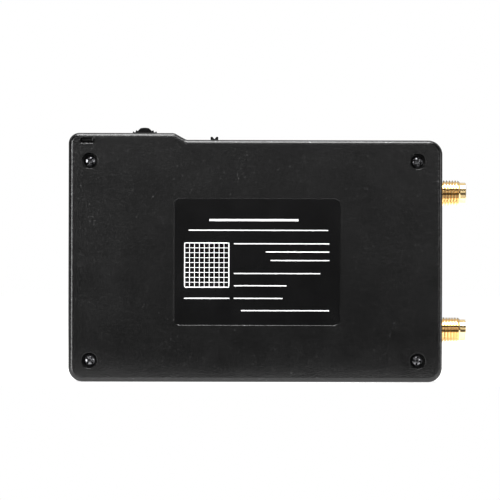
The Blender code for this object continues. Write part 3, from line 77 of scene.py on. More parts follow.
class Axis(Enum):
    """A row axis, with the turn that brings a tool's own Z onto it."""

    X = Matrix(((0, 0, 1), (1, 0, 0), (0, 1, 0)))
    Y = Matrix(((1, 0, 0), (0, 0, -1), (0, 1, 0)))
    Z = Matrix.Identity(3)

    @property
    def sign(self) -> int:
        """Which way along the row axis the tool's own Z points."""
        return -1 if self is Axis.Y else 1

    def place(self, middle: Point2, along: float) -> list[float]:
        """The place at a distance along this axis and at the two other coordinates."""
        index = "XYZ".index(self.name)
        return [*middle[:index], along, *middle[index:]]


class Operation(Enum):
    """How one solid changes another."""

    CUT = "DIFFERENCE"
    JOIN = "UNION"
    KEEP = "INTERSECT"


def around(middle: float, size: float) -> Span:
    """The span of a size centred on a place."""
    return (middle - size / 2, middle + size / 2)


def widened(span: Span, gap: float) -> Span:
    """A span with a gap added at both ends."""
    return (span[0] - gap, span[1] + gap)


def deselect() -> None:
    """Leave edit mode and select nothing."""
    if bpy.context.object and bpy.context.object.mode != "OBJECT":
        bpy.ops.object.mode_set(mode="OBJECT")
    bpy.ops.object.select_all(action="DESELECT")


def pick(piece: Piece) -> None:
    """Make a piece the only selected and active one.

    Args:
        piece: The piece that the next operator works on.
    """
    deselect()
    piece.select_set(True)
    bpy.context.view_layer.objects.active = piece


def weld() -> None:
    """Select the whole mesh in edit mode and make its points that meet one."""
    bpy.ops.mesh.select_all(action="SELECT")
    bpy.ops.mesh.remove_doubles(threshold=WELD)


def leave_edit() -> None:
    """Turn all faces of the mesh in edit mode out and leave edit mode."""
    bpy.ops.mesh.select_all(action="SELECT")
    bpy.ops.mesh.normals_make_consistent(inside=False)
    bpy.ops.object.mode_set(mode="OBJECT")


def settle(piece: Piece, name: str) -> Piece:
    """Name a piece and move its place, turn and scale into its mesh.

    Args:
        piece: The object that an operator has just made.
        name: Its name, which its mesh takes too.

    Returns:
        The same object, at the origin.
    """
    pick(piece)
    piece.name = name
    piece.data.name = name
    bpy.ops.object.transform_apply(location=True, rotation=True, scale=True)
    return piece


def box(name: str, *sides: Span) -> Piece:
    """A cube primitive fitted to its three spans.

    Args:
        name: The piece's name.
        *sides: Where it starts and ends along X, along Y and along Z.

    Returns:
        The box, at the origin.
    """
    deselect()
    bpy.ops.mesh.primitive_cube_add(
        size=1,
        location=[(low + high) / 2 for low, high in sides],
        scale=[high - low for low, high in sides],
    )
    return settle(bpy.context.object, name)


def rod(name: str, axis: Axis, middle: Point2, span: Span, radius: float) -> Piece:
    """A cylinder primitive along an axis.

    Args:
        name: The piece's name.
        axis: The row axis that it runs along.
        middle: Its place in the two other coordinates.
        span: Where it starts and ends along the axis.
        radius: Its radius.

    Returns:
        The rod, at the origin.
    """
    deselect()
    bpy.ops.mesh.primitive_cylinder_add(
        vertices=ROD_SIDES,
        radius=radius,
        depth=span[1] - span[0],
        location=axis.place(middle, (span[0] + span[1]) / 2),
        rotation=axis.value.to_euler(),
    )
    return settle(bpy.context.object, name)


def rounded(corners: Sequence[Place], step: float = ARC_STEP) -> list[Point2]:
    """The points of an outline whose corners (across, up, radius) become arcs.

    Args:
        corners: The corners in order, each with its radius, which may be zero.
        step: The largest turn between two points of an arc.

    Returns:
        The outline's points in the same order.
    """
    points: list[Point2] = []
    for index, (across, up, radius) in enumerate(corners):
        here = Vector((across, up))
        if radius == 0:
            points.append((across, up))
            continue
        back = (Vector(corners[index - 1][:2]) - here).normalized()
        ahead = (Vector(corners[(index + 1) % len(corners)][:2]) - here).normalized()
        opening_angle = back.angle(ahead)
        middle = here + (back + ahead).normalized() * radius / math.sin(opening_angle / 2)
        spoke = here + back * radius / math.tan(opening_angle / 2) - middle
        turn = math.copysign(math.pi - opening_angle, back.y * ahead.x - back.x * ahead.y)
        steps = max(1, math.ceil(abs(turn) / step))
        for count in range(steps + 1):
            points.append(tuple(middle + Matrix.Rotation(turn * count / steps, 2) @ spoke))
    return points


def rectangle(x_span: Span, y_span: Span, radius: float = 0.0) -> list[Point2]:
    """The outline of a rectangle with round corners.

    Args:
        x_span: Where it starts and ends across.
        y_span: Where it starts and ends upward.
        radius: The radius of its corners.

    Returns:
        The outline's points in order.
    """
    (left, right), (low, high) = x_span, y_span
    corners = ((left, low), (right, low), (right, high), (left, high))
    return rounded([(x, y, radius) for x, y in corners])


def polyline(points: Sequence[Place]) -> Piece:
    """A chain of edges, drawn by extruding one vertex.

    Args:
        points: The places of its vertices in order.

    Returns:
        The chain, still in edit mode with all of it selected.
    """
    deselect()
    bpy.ops.mesh.primitive_plane_add(size=MM, location=(0, 0, 0))
    line = bpy.context.object
    bpy.ops.object.mode_set(mode="EDIT")
    bpy.ops.mesh.select_mode(type="VERT")
    bpy.ops.mesh.select_all(action="SELECT")
    bpy.ops.mesh.merge(type="CENTER")
    bpy.ops.transform.translate(value=points[0])
    for start, end in zip(points, points[1:]):
        step = Vector(end) - Vector(start)
        bpy.ops.mesh.extrude_region_move(TRANSFORM_OT_translate={"value": step})
    bpy.ops.mesh.select_all(action="SELECT")
    return line


def plate(
    name: str, axis: Axis, span: Span, outline: Sequence[Point2], mouth: float = 0.0
) -> Piece:
    """A flat outline given its thickness along an axis.

    Args:
        name: The piece's name.
        axis: The row axis that the thickness runs along.
        span: Where the thickness starts and ends on that axis.
        outline: The outline's points in the two other coordinates.
        mouth: How far the far end spreads in a last step at 45 degrees, which starts the same
            distance before the end.

    Returns:
        The closed piece, at the origin, with its faces out.
    """
    start, end = axis.sign * span[0], axis.sign * span[1]
    way = math.copysign(1.0, end - start)
    line = polyline([(across, up, start) for across, up in outline])
    bpy.ops.mesh.edge_face_add()
    bpy.ops.mesh.extrude_region_move(
        TRANSFORM_OT_translate={"value": (0, 0, end - start - way * mouth)}
    )
    if mouth:
        bpy.ops.mesh.extrude_region_move(TRANSFORM_OT_translate={"value": (0, 0, way * mouth)})
        sizes = [max(place) - min(place) for place in zip(*outline)]
        middle = [(max(place) + min(place)) / 2 for place in zip(*outline)]
        bpy.ops.transform.resize(
            value=(*[1 + 2 * mouth / size for size in sizes], 1),
            center_override=(*middle, end),
        )
    leave_edit()
    line.rotation_euler = axis.value.to_euler()
    return settle(line, name)


def opening(
    name: str, axis: Axis, span: Span, sides: tuple[Span, Span], corner: float, edge: float
) -> Piece:
    """A cutter for an opening with a broken edge round its mouth.

    Args:
        name: The cutter's name.
        axis: The row axis that the opening runs along.
        span: Its floor, and the face that it comes out of.
        sides: Its spans in the two other coordinates.
        corner: The radius of its corners.
        edge: How far the broken edge goes in from the face, at 45 degrees.

    Returns:
        The cutter, which stands as far out of the face as the broken edge goes in.
    """
    end = span[1] + math.copysign(edge, span[1] - span[0])
    return plate(name, axis, (span[0], end), rectangle(*sides, corner), 2 * edge)


def turned(
    name: str, axis: Axis, middle: Point2, profile: Sequence[Point2], steps: int = TURNED_STEPS
) -> Piece:
    """A solid spun from a profile of (radius, along) points; an end at radius zero closes it.

    Args:
        name: The piece's name.
        axis: The axis that the profile turns about.
        middle: The axis's place in the two other coordinates.
        profile: The points, from one end round the outside to the other.
        steps: The number of faces round the axis.

    Returns:
        The closed piece, with its faces out.
    """
    line = polyline([(radius, 0, axis.sign * along) for radius, along in profile])
    bpy.ops.mesh.spin(
        steps=steps, angle=2 * math.pi, use_auto_merge=True, center=(0, 0, 0), axis=(0, 0, 1)
    )
    weld()
    leave_edit()
    line.location = axis.place(middle, 0)
    line.rotation_euler = axis.value.to_euler()
    return settle(line, name)


def drill(middle: Point2, span: Span, radius: float, edge: float) -> Piece:
    """A cutter along X for a round hole with a broken edge round its mouth.

    Args:
        middle: The hole's place along Y and Z.
        span: Its floor, and the face that it comes out of.
        radius: Its radius.
        edge: How far the broken edge goes in from the face, at 45 degrees.

    Returns:
        The cutter, which stands as far out of the face as the broken edge goes in.
    """
    floor, face = span
    profile = [(0, floor), (radius, floor), (radius, face - edge)]
    profile += [(radius + 2 * edge, face + edge), (0, face + edge)]
    return turned("drill", Axis.X, middle, profile)


def modified(piece: Piece, kind: str, **settings: object) -> Piece:
    """Give a piece a modifier and apply it.

    Args:
        piece: The piece to change.
        kind: The modifier's type.
        **settings: The modifier's properties, set in this order.

    Returns:
        The same piece.
    """
    modifier = piece.modifiers.new(kind.lower(), kind)
    for name, value in settings.items():
        setattr(modifier, name, value)
    pick(piece)
    bpy.ops.object.modifier_apply(modifier=modifier.name)
    return piece


def change(piece: Piece, operation: Operation, *tools: Piece) -> Piece:
    """Cut or join a piece with tools.

    Args:
        piece: The piece to change.
        operation: What each tool does to it.
        *tools: The tools, which are used up.

    Returns:
        The same piece.
    """
    for tool in tools:
        modified(piece, "BOOLEAN", operation=operation.value, solver="EXACT", object=tool)
        bpy.data.objects.remove(tool)
    return piece


def cut(piece: Piece, *tools: Piece) -> Piece:
    """Take tools away from a piece."""
    return change(piece, Operation.CUT, *tools)


def join(piece: Piece, *tools: Piece) -> Piece:
    """Add tools to a piece."""
    return change(piece, Operation.JOIN, *tools)


def ease(piece: Piece, width: float, segments: int = 2, angle: float = 40.0) -> Piece:
    """Bevel the sharp edges of a piece.

    Args:
        piece: The piece to change.
        width: The bevel's width.
        segments: The faces across it.
        angle: The angle in degrees above which an edge is sharp.

    Returns:
        The same piece.
    """
    return modified(
        piece, "BEVEL", limit_method="ANGLE", angle_limit=math.radians(angle), width=width,
        segments=segments, use_clamp_overlap=True, harden_normals=False,
    )


def smooth(piece: Piece, angle: float = 35.0) -> Piece:
    """Shade a piece smooth, with flat faces kept flat.

    Args:
        piece: The piece to shade.
        angle: The angle in degrees above which an edge stays sharp.

    Returns:
        The same piece.
    """
    pick(piece)
    bpy.ops.object.shade_smooth_by_angle(angle=math.radians(angle))
    return modified(piece, "WEIGHTED_NORMAL", keep_sharp=True)


def copied(piece: Piece, name: str, move: Matrix) -> Piece:
    """A copy of a piece with its own mesh.

    Args:
        piece: The piece to copy.
        name: The copy's name.
        move: Where the copy goes from the origin.

    Returns:
        The copy, at the origin.
    """
    pick(piece)
    bpy.ops.object.duplicate()
    twin = bpy.context.object
    twin.matrix_world = move
    return settle(twin, name)


def together(pieces: Sequence[Piece], name: str) -> Piece:
    """Join pieces that do not touch into one object.

    Args:
        pieces: The pieces, which are used up.
        name: The object's name.

    Returns:
        The object, at the origin.
    """
    deselect()
    for piece in pieces:
        piece.select_set(True)
    bpy.context.view_layer.objects.active = pieces[0]
    bpy.ops.object.join()
    return settle(pieces[0], name)


@dataclass
class Tree:
    """A node tree with short ways to add and link nodes."""

    tree: bpy.types.NodeTree

    def feed(self, node: bpy.types.Node, inputs: dict[str | int, object]) -> None:
        """Link or set inputs of a node.

        Args:
            node: The node.
            inputs: A value or an output socket for each named or numbered input.
        """
        for name, value in inputs.items():
            if isinstance(value, Socket):
                self.tree.links.new(value, node.inputs[name])
            else:
                node.inputs[name].default_value = value

    def add(
        self, kind: str, inputs: dict[str | int, object] | None = None, **settings: object
    ) -> bpy.types.Node:
        """Add a node, set its properties, and link or set its inputs.

        Args:
            kind: The node's type without the words that all shader nodes start with.
            inputs: A value or an output socket for each named or numbered input.
            **settings: The node's own properties.

        Returns:
            The new node.
        """
        node = self.tree.nodes.new("ShaderNode" + kind)
        for name, value in settings.items():
            setattr(node, name, value)
        self.feed(node, inputs or {})
        return node

    def math(self, operation: str, first: Value, second: Value = 0.0) -> Socket:
        """One step of arithmetic."""
        return self.add("Math", {0: first, 1: second}, operation=operation).outputs[0]

    def blend(self, share: Value, first: Value, second: Value) -> Socket:
        """A value between two others."""
        return self.add("Mix", {0: share, 2: first, 3: second}).outputs[0]

    def spread(
        self, value: Socket, low: float, high: float, start: float = 0.0, end: float = 1.0
    ) -> Socket:
        """Bring a value from the range start to end to the range low to high, held at its ends."""
        inputs = {"Value": value, "From Min": start, "From Max": end, "To Min": low, "To Max": high}
        return self.add("MapRange", inputs).outputs["Result"]

    def seen(self) -> Socket:
        """1 for a ray that comes from the camera, also through glass, and 0 for others."""
        rays = self.add("LightPath").outputs
        return self.math("MAXIMUM", rays["Is Camera Ray"], rays["Is Transmission Ray"])


@dataclass
class Pattern(Tree):
    """The tree of a shared pattern, with the position and the scale that it is given."""

    place: Socket
    scale: Socket

    def noise(self, **inputs: Value) -> Socket:
        """A cloudy noise, with further inputs of its node."""
        given = {"Vector": self.place, "Scale": self.scale, **inputs}
        return self.add("TexNoise", given).outputs[0]

    def grain(self) -> Socket:
        """The fine pits and peaks of a spark-eroded mould.

        Returns:
            The height.
        """
        finer, pit_share, fine_share = 1.7, 0.7, 0.6
        pits = self.add(
            "TexVoronoi", {"Vector": self.place, "Scale": self.scale}, feature="SMOOTH_F1"
        )
        fine = self.noise(Scale=self.math("MULTIPLY", self.scale, finer))
        pits_height = self.math("MULTIPLY", pits.outputs["Distance"], pit_share)
        return self.math("ADD", pits_height, self.math("MULTIPLY", fine, fine_share))

    def flecks(self) -> Socket:
        """Uneven gloss with rare bright flecks.

        Returns:
            About 1 in the middle and up to 4 on a fleck.
        """
        noise = self.noise(Detail=1.0)
        wave = self.spread(noise, low=0.9, high=1.1, start=0.35, end=0.65)
        rare = self.spread(noise, low=0.0, high=3.0, start=0.71, end=0.80)
        return self.math("ADD", wave, rare)

    def patches(self) -> Socket:
        """Soft patches, such as handling leaves, from 0 to 1."""
        noise = self.noise(Detail=4.0, Distortion=0.6)
        return self.spread(noise, low=0.0, high=1.0, start=0.3, end=0.7)

    def lathe(self) -> Socket:
        """The rings that a turning tool leaves round the X axis."""
        inputs = {0: self.place, 1: (1.0, 0.02, 0.02)}
        return self.noise(Vector=self.add("VectorMath", inputs, operation="MULTIPLY").outputs[0])

    def weave(self) -> Socket:
        """The crossed threads under a board's lacquer.

        Returns:
            The height, from 0 to 1.
        """
        turns = self.math("MULTIPLY", self.scale, 2 * math.pi)
        split = self.add("SeparateXYZ", {0: self.place}).outputs
        across = self.math("SINE", self.math("MULTIPLY", split["X"], turns))
        upward = self.math("SINE", self.math("MULTIPLY", split["Z"], turns))
        crossed = self.math("MULTIPLY", across, upward)
        return self.spread(crossed, low=0.0, high=1.0, start=-1.0, end=1.0)


class Effect(Enum):
    """A pattern that finishes share, which stands in a node group with this name."""

    GRAIN = ("Moulded grain", Pattern.grain)
    FLECKS = ("Flecks", Pattern.flecks)
    PATCHES = ("Slow patches", Pattern.patches)
    LATHE = ("Lathe marks", Pattern.lathe)
    WEAVE = ("Glass weave", Pattern.weave)

    def group(self) -> bpy.types.NodeTree:
        """The pattern's node group, made once.

        Returns:
            A group that takes a position and a size and puts out a value.
        """
        name, draw = self.value
        if name in bpy.data.node_groups:
            return bpy.data.node_groups[name]
        group = bpy.data.node_groups.new(name, "ShaderNodeTree")
        for label, kind in (("Position", "Vector"), ("Size", "Float")):
            group.interface.new_socket(label, in_out="INPUT", socket_type="NodeSocket" + kind)
        group.interface.new_socket("Value", in_out="OUTPUT", socket_type="NodeSocketFloat")
        given = group.nodes.new("NodeGroupInput").outputs
        scale = Tree(group).math("DIVIDE", 1.0, given["Size"])
        result = draw(Pattern(group, given["Position"], scale))
        group.links.new(result, group.nodes.new("NodeGroupOutput").inputs["Value"])
        return group

    def on(self, tree: Tree, size: float, place: Socket) -> Socket:
        """The pattern's value at a place of another tree, at a size."""
        inputs = {"Size": size, "Position": place}
        return tree.add("Group", inputs, node_tree=self.group()).outputs[0]


def shaded(name: str) -> tuple[bpy.types.Material, Tree, bpy.types.Node]:
    """A new material.

    Args:
        name: Its name.

    Returns:
        The material, its node tree and its surface shader.
    """
    material = bpy.data.materials.new(name)
    material.use_nodes = True
    return material, Tree(material.node_tree), material.node_tree.nodes["Principled BSDF"]


@dataclass(frozen=True)
class Finish:
    """A material: one colour and gloss with slow patches over a fine relief."""

    slot: str
    color: tuple[float, float, float]
    roughness: float
    metallic: float = 0.0
    coat: float = 0.0
    specular: float = 0.5
    tone_share: float = 0.12
    gloss_share: float = 0.12
    patch: float = 9 * MM
    relief: float = 0.0
    grain: float = 0.2 * MM
    texture: Effect = Effect.GRAIN
    speckle_share: float = 0.0
    fleck: float = 0.0

    def material(self) -> bpy.types.Material:
        """The finish's material, made once.

        Returns:
            The material, named after the slot.
        """
        name = self.slot + "_look"
        if name in bpy.data.materials:
            return bpy.data.materials[name]
        material, tree, shader = shaded(name)
        place = tree.add("TexCoord").outputs["Object"]
        patches = Effect.PATCHES.on(tree, self.patch, place)
        texture = self.texture.on(tree, self.grain, place)
        gloss = [self.roughness * (1 + side * self.gloss_share) for side in (-1, 1)]
        inputs = {
            "Base Color": self._color(tree, patches, texture),
            "Roughness": tree.spread(patches, *gloss),
            "Metallic": self.metallic,
            "Coat Weight": self.coat,
            "Specular IOR Level": self.specular,
        }
        if self.fleck:
            flecks = Effect.FLECKS.on(tree, self.fleck, place)
            inputs["Specular IOR Level"] = tree.math("MULTIPLY", flecks, self.specular)
        if self.relief:
            bump = tree.add("Bump", {"Distance": self.relief, "Strength": 1.0, "Height": texture})
            inputs["Normal"] = bump.outputs[0]
        tree.feed(shader, inputs)
        return material

    def _color(self, tree: Tree, patches: Socket, texture: Socket) -> Socket:
        """The base colour, between a darker and a lighter tone.

        Args:
            tree: The material's node tree.
            patches: The value that leads from one tone to the other.
            texture: The fine value that the speckle follows.

        Returns:
            The colour.
        """
        tones = [
            (*[channel * (1 + side * self.tone_share) for channel in self.color], 1.0)
            for side in (-1, 1)
        ]
        tone = tree.add("Mix", {0: patches, 6: tones[0], 7: tones[1]}, data_type="RGBA")
        if not self.speckle_share:
            return tone.outputs[2]
        speck = tree.spread(texture, 1 - self.speckle_share, 1 + self.speckle_share, start=0.2)
        inputs = {0: tone.outputs[2], 3: speck}
        return tree.add("VectorMath", inputs, operation="SCALE").outputs[0]

    def cover(self, piece: Piece) -> None:
        """Make this finish the only material of a piece."""
        piece.data.materials.clear()
        piece.data.materials.append(self.material())


class Look(Enum):
    """The finish of each of the record's material slots."""

    CASE = Finish(
        "case_plastic", (0.0016, 0.0016, 0.0016), 0.21, specular=0.34, relief=0.028 * MM,
        grain=0.26 * MM, speckle_share=0.5, fleck=0.55 * MM,
    )
    LABEL = Finish(
        "label_film", (0.0013, 0.0013, 0.0014), 0.25, specular=0.16, relief=0.003 * MM,
        grain=0.35 * MM,
    )
    SCREW = Finish("black_screw", (0.11, 0.11, 0.115), 0.11, 1.0, grain=0.1 * MM)
    GOLD = Finish(
        "gold_plate", (0.80, 0.60, 0.31), 0.10, 1.0, relief=0.004 * MM, grain=0.06 * MM,
        texture=Effect.LATHE, patch=3 * MM, tone_share=0.05,
    )
    INSULATOR = Finish("port_insulator", (0.80, 0.80, 0.77), 0.45)
    GLASS = Finish("touch_glass", (0.004, 0.0045, 0.006), 0.05, coat=1.0, gloss_share=0.3)
    DISPLAY = Finish("display_cell", (0.01, 0.011, 0.016), 0.2)
    STEEL = Finish(
        "sheet_steel", (0.55, 0.55, 0.56), 0.28, 1.0, relief=0.002 * MM, grain=0.08 * MM
    )
    SWITCH = Finish("switch_plastic", (0.012, 0.012, 0.012), 0.5, relief=0.006 * MM)
    KNOB = Finish(
        "knob_plastic", (0.0018, 0.0018, 0.0020), 0.4, specular=0.07, relief=0.01 * MM,
        grain=0.12 * MM,
    )
    BRONZE = Finish("contact_bronze", (0.62, 0.40, 0.20), 0.3, 1.0)
    FLEX = Finish("flex_film", (0.30, 0.13, 0.02), 0.3, coat=0.5)
    LAMINATE = Finish(
        "board_laminate", (0.006, 0.022, 0.014), 0.35, coat=0.6, texture=Effect.WEAVE,
        grain=0.5 * MM, speckle_share=0.3,
    )
    RESIN = Finish("chip_resin", (0.012, 0.012, 0.013), 0.6, relief=0.006 * MM, grain=0.08 * MM)
    FOAM = Finish("foam", (0.02, 0.02, 0.021), 0.95, relief=0.1 * MM, grain=0.3 * MM)
    FOIL = Finish("battery_foil", (0.50, 0.51, 0.53), 0.35, 0.6, relief=0.02 * MM, grain=2 * MM)
    TAPE = Finish("guard_tape", (0.55, 0.30, 0.04), 0.35, relief=0.01 * MM, grain=1.5 * MM)
    RED = Finish("lead_red", (0.5, 0.015, 0.012), 0.42)
    BLACK = Finish("lead_black", (0.012, 0.012, 0.012), 0.42)
    NYLON = Finish("plug_nylon", (0.72, 0.69, 0.58), 0.5)

    def on(self, piece: Piece) -> None:
        """Give a piece this finish."""
        self.value.cover(piece)


def spans(node: str) -> tuple[Span, Span, Span]:
    """The three spans of a solid of the frame at rest."""
    low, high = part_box(node)
    return tuple(zip(low, high))


def report(piece: Piece) -> None:
    """Log a finished piece."""
    LOG.info("%s: %d faces", piece.name, len(piece.data.polygons))


def keep(piece: Piece, look: Look, body: str, *nodes: str) -> None:
    """Finish a piece, let it ride on a body and let it stand for solids of the frame.

    Args:
        piece: The finished mesh.
        look: Its finish.
        body: The body that it moves with.
        *nodes: The solids that it replaces.
    """
    look.on(piece)
    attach(piece, body)
    if nodes:
        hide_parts(*nodes)
    report(piece)


@dataclass(frozen=True)
class Case:
    """The sizes of the case that several sub-assemblies share.

    Tools reach past what they cut by the length named over.
    """

    left: float = -49.0 * MM
    right: float = 42.8 * MM
    height: float = 59.4 * MM
    back: float = -8.0 * MM
    front: float = 8.0 * MM
    side_wall: float = 1.8 * MM
    inner_back: float = -6.2 * MM
    inner_front: float = 6.4 * MM
    shoulder_top: float = 61.05 * MM
    slope_head: float = -23.1 * MM
    slope_run: float = 3.0 * MM
    slope_soft: float = 1.5 * MM
    corner: float = 3.5 * MM
    shoulder_corner: float = 2.6 * MM
    label_corner: float = 1.6 * MM
    over: float = 1.0 * MM

    def outline(self, inset: float = 0.0) -> list[Point2]:
        """The case seen from its back.

        Args:
            inset: How far the outline is drawn in.

        Returns:
            The outline's points in order.
        """
        rise = self.shoulder_top - self.height
        lean = inset * math.tan(math.atan2(rise, self.slope_run) / 2)
        left, right = self.left + inset, self.right - inset
        head = self.slope_head - lean
        top, shoulder = self.height - inset, self.shoulder_top - inset
        return rounded(
            [
                (left, inset, self.corner - inset),
                (right, inset, self.corner - inset),
                (right, top, self.corner - inset),
                (head + self.slope_run, top, self.slope_soft + inset),
                (head, shoulder, max(0.0, self.slope_soft - inset)),
                (left, shoulder, self.shoulder_corner - inset),
            ]
        )


CASE = Case()
SCREWS = (mm(-43.8, 54.2), mm(36.7, 54.2), mm(-43.8, 5.2), mm(36.7, 5.2))
PORTS = mm(46.65, 12.75)


@dataclass
class Housing:
    """The two moulded shells, which meet in a lip seam round the case.

    Posts, bosses and ribs are rooted in the wall behind them, and some go a little deeper than
    others, so that no two of their ends lie in one plane.
    """

    rim: float = 1.1 * MM
    rim_steps: int = 6
    seam: float = 0.15 * MM
    lip: float = 0.8 * MM
    lip_rise: float = 1.0 * MM
    wall_gap: float = 0.3 * MM
    broken_edge: float = 0.12 * MM
    rib: float = 1.0 * MM
    rooted: float = 0.9 * MM
    shell_rooted: float = 0.8 * MM
    deeper: float = 0.1 * MM
    post: float = 5.0 * MM
    post_head: float = 7.2 * MM
    post_shoulder: float = -3.7 * MM
    mounted: float = 0.4 * MM
    counterbore: float = 3.9 * MM
    counterbore_floor: float = -4.7 * MM
    counterbore_soft: float = 0.1 * MM
    counterbore_steps: int = 5
    screw_hole: float = 2.3 * MM
    boss: float = 5.8 * MM
    boss_face: float = 2.3 * MM
    pilot: float = 2.1 * MM
    port_hole: float = 6.85 * MM
    jog_slot_x: Span = mm(-34.56, -26.34)
    jog_slot_y: Span = mm(-3.2, -0.6)
    slide_slot_x: Span = mm(-14.55, -9.95)
    slide_slot_y: Span = mm(-2.15, 0.0)
    slot_corner: float = 0.2 * MM
    usb_corner: float = 1.45 * MM
    usb_edge: float = 0.16 * MM
    recess_gap: float = 0.04 * MM
    recess_edge: float = 0.12 * MM
    window_x: Span = mm(-35.1, 23.5)
    window_z: Span = mm(7.6, 51.8)
    window_corner: float = 0.8 * MM
    window_slope: float = 0.8 * MM
    tray_fence_start: float = 3.4 * MM
    gate_end: float = -40.4 * MM
    gate_y: Span = mm(2.15, 5.5)
    battery_fence_rise: float = 2.4 * MM
    battery_gap: float = 1.5 * MM
    lanyard_x: Span = mm(-46.2, -42.8)
    lanyard_z: Span = mm(58.56, 59.93)
    lanyard_end: float = -4.6 * MM
    lanyard_slant: float = 0.9 * MM
    lanyard_wall: float = 0.9 * MM
    lanyard_edge: float = 0.2 * MM
    lanyard_corner: float = 0.6 * MM
    lanyard_floor_insets: Point2 = mm(0.1, 0.02)
    top_slot_inset: float = 0.15 * MM
    top_slot_y: Span = mm(-5.97, -4.75)
    top_slot_corner: float = 0.4 * MM
    pip_x: Span = mm(-18.9, -17.7)
    pip_y: Span = mm(-2.2, -1.0)
    pip_height: float = 0.4 * MM
    pip_soft: float = 0.08 * MM

    def build(self) -> None:
        """Model both shells."""
        keep(smooth(self._cover()), Look.CASE, "root", "back_cover")
        keep(smooth(self._shell()), Look.CASE, "root", "front_shell")

    def _half(self, name: str, other_half: Span) -> Piece:
        """The solid body with round rims, less the half that the other shell makes.

        Args:
            name: The piece's name.
            other_half: Where the other shell lies along Y.

        Returns:
            The solid half.
        """
        body = plate(name, Axis.Y, (CASE.back, CASE.front), CASE.outline())
        ease(body, self.rim, self.rim_steps, RIM_ANGLE)
        length = widened((CASE.left, CASE.right), CASE.over)
        height = widened((0, CASE.shoulder_top), CASE.over)
        return cut(body, box("away", length, other_half, height))

    def _hollow(self) -> Piece:
        """The room inside both shells."""
        outline = CASE.outline(CASE.side_wall)
        return plate("hollow", Axis.Y, (CASE.inner_back, CASE.inner_front), outline)

    def _fence(self, node: str, y_span: Span, gap: float) -> Piece:
        """The four ribs round a solid of the frame.

        Args:
            node: The solid's name.
            y_span: Where the ribs start and end along Y.
            gap: The gap between the solid and the ribs.

        Returns:
            The ribs as one piece.
        """
        x_span, _, z_span = spans(node)
        inner_x, inner_z = widened(x_span, gap), widened(z_span, gap)
        ribs = box("ribs", widened(inner_x, self.rib), y_span, widened(inner_z, self.rib))
        return cut(ribs, box("room", inner_x, widened(y_span, CASE.over), inner_z))

    def _wall_openings(self, jog_y: Span, slide_y: Span) -> list[Piece]:
        """Cutters for the openings in the top wall and the port wall, with broken edges.

        Args:
            jog_y: Where the jog lever's slot starts and ends along Y.
            slide_y: Where the slider's slot starts and ends along Y.

        Returns:
            One cutter for each opening.
        """
        foot = CASE.height - CASE.side_wall - CASE.over
        usb_x, usb_y, _ = spans("usb_shell")
        usb_sides = (widened(usb_x, self.wall_gap), widened(usb_y, self.wall_gap))
        corner, edge = self.slot_corner, self.broken_edge
        slots = (
            ("jog_slot", CASE.shoulder_top, (self.jog_slot_x, jog_y), corner, edge),
            ("slide_slot", CASE.height, (self.slide_slot_x, slide_y), corner, edge),
            ("usb_hole", CASE.height, usb_sides, self.usb_corner, self.usb_edge),
        )
        cutters = [opening(name, Axis.Z, (foot, top), *shape) for name, top, *shape in slots]
        port_x = (CASE.right - CASE.side_wall - CASE.over, CASE.right)
        radius = self.port_hole / 2
        return cutters + [drill((0, height), port_x, radius, edge) for height in PORTS]

    def _cover(self) -> Piece:
        """The back shell with its screw posts, counterbores, label recess and lanyard opening.

        Returns:
            The closed shell.
        """
        cover = self._half("back_cover_skin", (-self.seam, CASE.front + CASE.over))
        rebate = CASE.outline(CASE.side_wall - self.lip - self.wall_gap)
        rebate_y = (-self.lip_rise - self.wall_gap, CASE.over)
        cut(cover, plate("rebate", Axis.Y, rebate_y, rebate), self._hollow())
        root = CASE.inner_back - self.rooted
        for place in SCREWS:
            join(
                cover,
                rod("post_head", Axis.Y, place, (root, self.post_shoulder), self.post_head / 2),
                rod("post", Axis.Y, place, (root - self.deeper, self.mounted), self.post / 2),
            )
        wall = self.lanyard_wall
        lanyard_room = box(
            "lanyard_room",
            (CASE.left + wall, self.lanyard_x[1] + wall),
            (root, self.lanyard_end + wall),
            (self.lanyard_z[0] - wall, CASE.shoulder_top - wall),
        )
        pip = box("pip", self.pip_x, self.pip_y, around(CASE.height, self.pip_height))
        ease(pip, self.pip_soft, segments=3)
        fence_y = (root, CASE.inner_back + self.battery_fence_rise)
        fence = self._fence("battery_guard_strip", fence_y, self.battery_gap)
        join(cover, fence, lanyard_room, pip)
        for place in SCREWS:
            cut(cover, self._counterbore(place))
        cut(cover, self._label_recess(), *self._lanyard_tunnel())
        past_seam = [(slot_y[0], CASE.over) for slot_y in (self.jog_slot_y, self.slide_slot_y)]
        return cut(cover, *self._wall_openings(*past_seam))

    def _counterbore(self, place: Point2) -> Piece:
        """The cutter for a screw's counterbore and hole, with a softened mouth.

        Args:
            place: The screw's place across and up.

        Returns:
            The cutter.
        """
        radius, hole, soft = self.counterbore / 2, self.screw_hole / 2, self.counterbore_soft
        profile = [(0, CASE.back - CASE.over), (radius + soft, CASE.back - CASE.over)]
        for step in range(self.counterbore_steps + 1):
            turn = math.pi / 2 * step / self.counterbore_steps
            depth = CASE.back + soft - soft * math.cos(turn)
            profile.append((radius + soft - soft * math.sin(turn), depth))
        profile += [
            (radius, self.counterbore_floor),
            (hole, self.counterbore_floor),
            (hole, self.mounted + CASE.over),
            (0, self.mounted + CASE.over),
        ]
        return turned("counterbore", Axis.Y, place, profile)

    def _label_recess(self) -> Piece:
        """The cutter for the shallow recess that holds the label.

        Returns:
            The cutter.
        """
        x_span, y_span, z_span = spans("label")
        gap = self.recess_gap
        span, sides = (y_span[1] + gap, CASE.back), (widened(x_span, gap), widened(z_span, gap))
        corner = CASE.label_corner + gap
        return opening("label_recess", Axis.Y, span, sides, corner, self.recess_edge)

